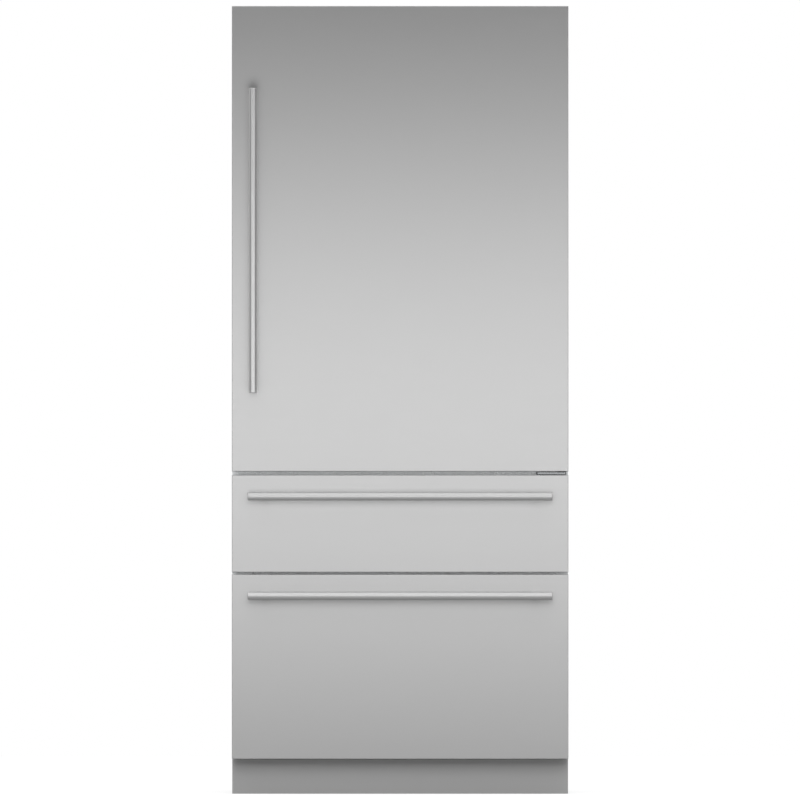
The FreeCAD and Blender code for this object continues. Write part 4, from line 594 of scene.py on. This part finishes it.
# Print on the control panel's underside: two scales of level bars, with a round touch spot at either end. A
# scale's place is a share of the panel's width. Bars and spots are in millimetres from a scale's middle
SCALES, BARS, BAR_REACH, SPOTS, SPOT_SIDES = (0.25, 0.75), (-32, -16, 0, 16, 32), 4, (-56, 56), 32
BAR_RADIUS, SPOT_INNER, SPOT_OUTER, PRINT_DEPTH = 1.6 * MM, 6.2 * MM, 7.0 * MM, 0.2 * MM
SPOT = ((HAIR, SPOT_INNER), (HAIR, SPOT_OUTER), (PRINT_DEPTH, SPOT_OUTER), (PRINT_DEPTH, SPOT_INNER))
low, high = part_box("control_panel")
middle = (low.y + high.y) / 2
mesh = bmesh.new()
for share in SCALES:
    centre = low.x + share * (high.x - low.x)
    for dx in SPOTS:
        spot = centre + dx * MM
        rounds = [(circle(spot, middle, radius, SPOT_SIDES), low.z - drop) for drop, radius in SPOT]
        skin(mesh, zip(*[[(x, y, z) for x, y in outline] for outline, z in rounds]), closed=True)
    for dx in BARS:
        outline = arc(centre + (dx + BAR_REACH) * MM, middle, BAR_RADIUS, -90, 90)
        outline += arc(centre + (dx - BAR_REACH) * MM, middle, BAR_RADIUS, 90, 270)
        skin(mesh, [[(x, y, low.z - drop) for x, y in outline] for drop in (HAIR, PRINT_DEPTH)])
piece("control_panel_print", mesh, INK, "cabinet")


# Studio
def larger(tree, one, other):
    """The larger of two values."""
    return add(tree, "ShaderNodeMath", {0: one, 1: other}, operation="MAXIMUM").outputs[0]


WHITE = linear("#FFFFFF")
scene = bpy.context.scene
scene.view_settings.view_transform = "Standard"

# A wide soft lamp in front, level with the middle of the part. The camera doesn't see it
SOFTBOX_AHEAD, SOFTBOX_LEVEL, SOFTBOX_SIZE, SOFTBOX_WATTS = 2.3, 1.05, (5.0, 1.27), 30
lamp = bpy.data.lights.new("front_softbox", "AREA")
lamp.shape = "RECTANGLE"
lamp.size, lamp.size_y = SOFTBOX_SIZE
lamp.energy = SOFTBOX_WATTS
softbox = bpy.data.objects.new("front_softbox", lamp)
softbox.location = (0, -SOFTBOX_AHEAD, SOFTBOX_LEVEL)
softbox.rotation_euler = Vector(BACK).to_track_quat("-Z", "Y").to_euler()
softbox.visible_camera = False
scene.collection.objects.link(softbox)

# The camera and glass see plain white all round. Metal mirrors a dim room that is bright behind the part and
# overhead, and a little at the sides. Each wall has its direction, where its glow starts and where it is
# full, and its strength
AMBIENT, DIM = 0.55, 0.02
world = bpy.data.worlds.new("studio")
scene.world = world
world.use_nodes = True
tree = world.node_tree
tree.nodes.clear()
ray = add(tree, "ShaderNodeLightPath").outputs
around = add(tree, "ShaderNodeTexCoord").outputs["Generated"]
heading = add(tree, "ShaderNodeSeparateXYZ", {"Vector": around}).outputs
aside = add(tree, "ShaderNodeMath", {0: heading["X"]}, operation="ABSOLUTE").outputs[0]
walls = ((heading["Y"], -0.2, 0.8, 1.0), (heading["Z"], 0.48, 0.76, 1.3), (aside, 0.3, 0.6, 0.3))
room = DIM
for way, start, full, strength in walls:
    ends = {"Value": way, "From Min": start, "From Max": full, "To Min": DIM, "To Max": strength}
    room = larger(tree, room, add(tree, "ShaderNodeMapRange", ends).outputs["Result"])
plain = larger(tree, ray["Is Camera Ray"], ray["Is Transmission Ray"])
seen = larger(tree, plain, ray["Is Glossy Ray"])
backdrop = add(tree, "ShaderNodeBackground", {"Color": WHITE, "Strength": larger(tree, plain, room)})
ambient = add(tree, "ShaderNodeBackground", {"Color": WHITE, "Strength": AMBIENT})
both = add(tree, "ShaderNodeMixShader", {0: seen, 1: ambient.outputs[0], 2: backdrop.outputs[0]})
add(tree, "ShaderNodeOutputWorld", {"Surface": both.outputs[0]})

# A pale paper floor, lifted to white for the camera and glass, and a little for metal. It keeps the shadow
FLOOR_HALF, WHITE_LIFT, MIRROR_LIFT = 6.0, 0.78, 0.1
sheet = bmesh.new()
bmesh.ops.create_grid(sheet, x_segments=1, y_segments=1, size=FLOOR_HALF)
floor_data = bpy.data.meshes.new("floor")
sheet.to_mesh(floor_data)
sheet.free()
floor = bpy.data.objects.new("floor", floor_data)
scene.collection.objects.link(floor)
paper = bpy.data.materials.new("white_paper_floor")
paper.use_nodes = True
tree = paper.node_tree
tree.nodes.clear()
ray = add(tree, "ShaderNodeLightPath").outputs
matt = add(tree, "ShaderNodeBsdfDiffuse", {"Color": linear("#B0B0B0")})
plain = larger(tree, ray["Is Camera Ray"], ray["Is Transmission Ray"])
mirrored = add(tree, "ShaderNodeMath", {0: ray["Is Glossy Ray"], 1: MIRROR_LIFT}, operation="MULTIPLY")
sums = {0: plain, 1: WHITE_LIFT, 2: mirrored.outputs[0]}
lift = add(tree, "ShaderNodeMath", sums, operation="MULTIPLY_ADD")
glow = add(tree, "ShaderNodeEmission", {"Color": WHITE, "Strength": lift.outputs[0]})
lit = add(tree, "ShaderNodeAddShader", {0: matt.outputs[0], 1: glow.outputs[0]})
add(tree, "ShaderNodeOutputMaterial", {"Surface": lit.outputs[0]})
floor_data.materials.append(paper)

# Camera: level with the middle of the front, far off behind a long lens. The frame is as wide as FRAME_WIDTH
# at the door's front
PANEL_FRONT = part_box("door_panel")[0].y
FRAME_WIDTH, EYE_LEVEL, EYE_DISTANCE, EYE_SIDE = 2.15824, 1.06385, 60.0, -0.00036
view = bpy.data.cameras.new("camera")
view.sensor_width = 36.0
view.lens = view.sensor_width * EYE_DISTANCE / FRAME_WIDTH
camera = bpy.data.objects.new("camera", view)
camera.location = (EYE_SIDE, PANEL_FRONT - EYE_DISTANCE, EYE_LEVEL)
camera.rotation_euler = (math.pi / 2, 0, 0)
scene.collection.objects.link(camera)
scene.camera = camera
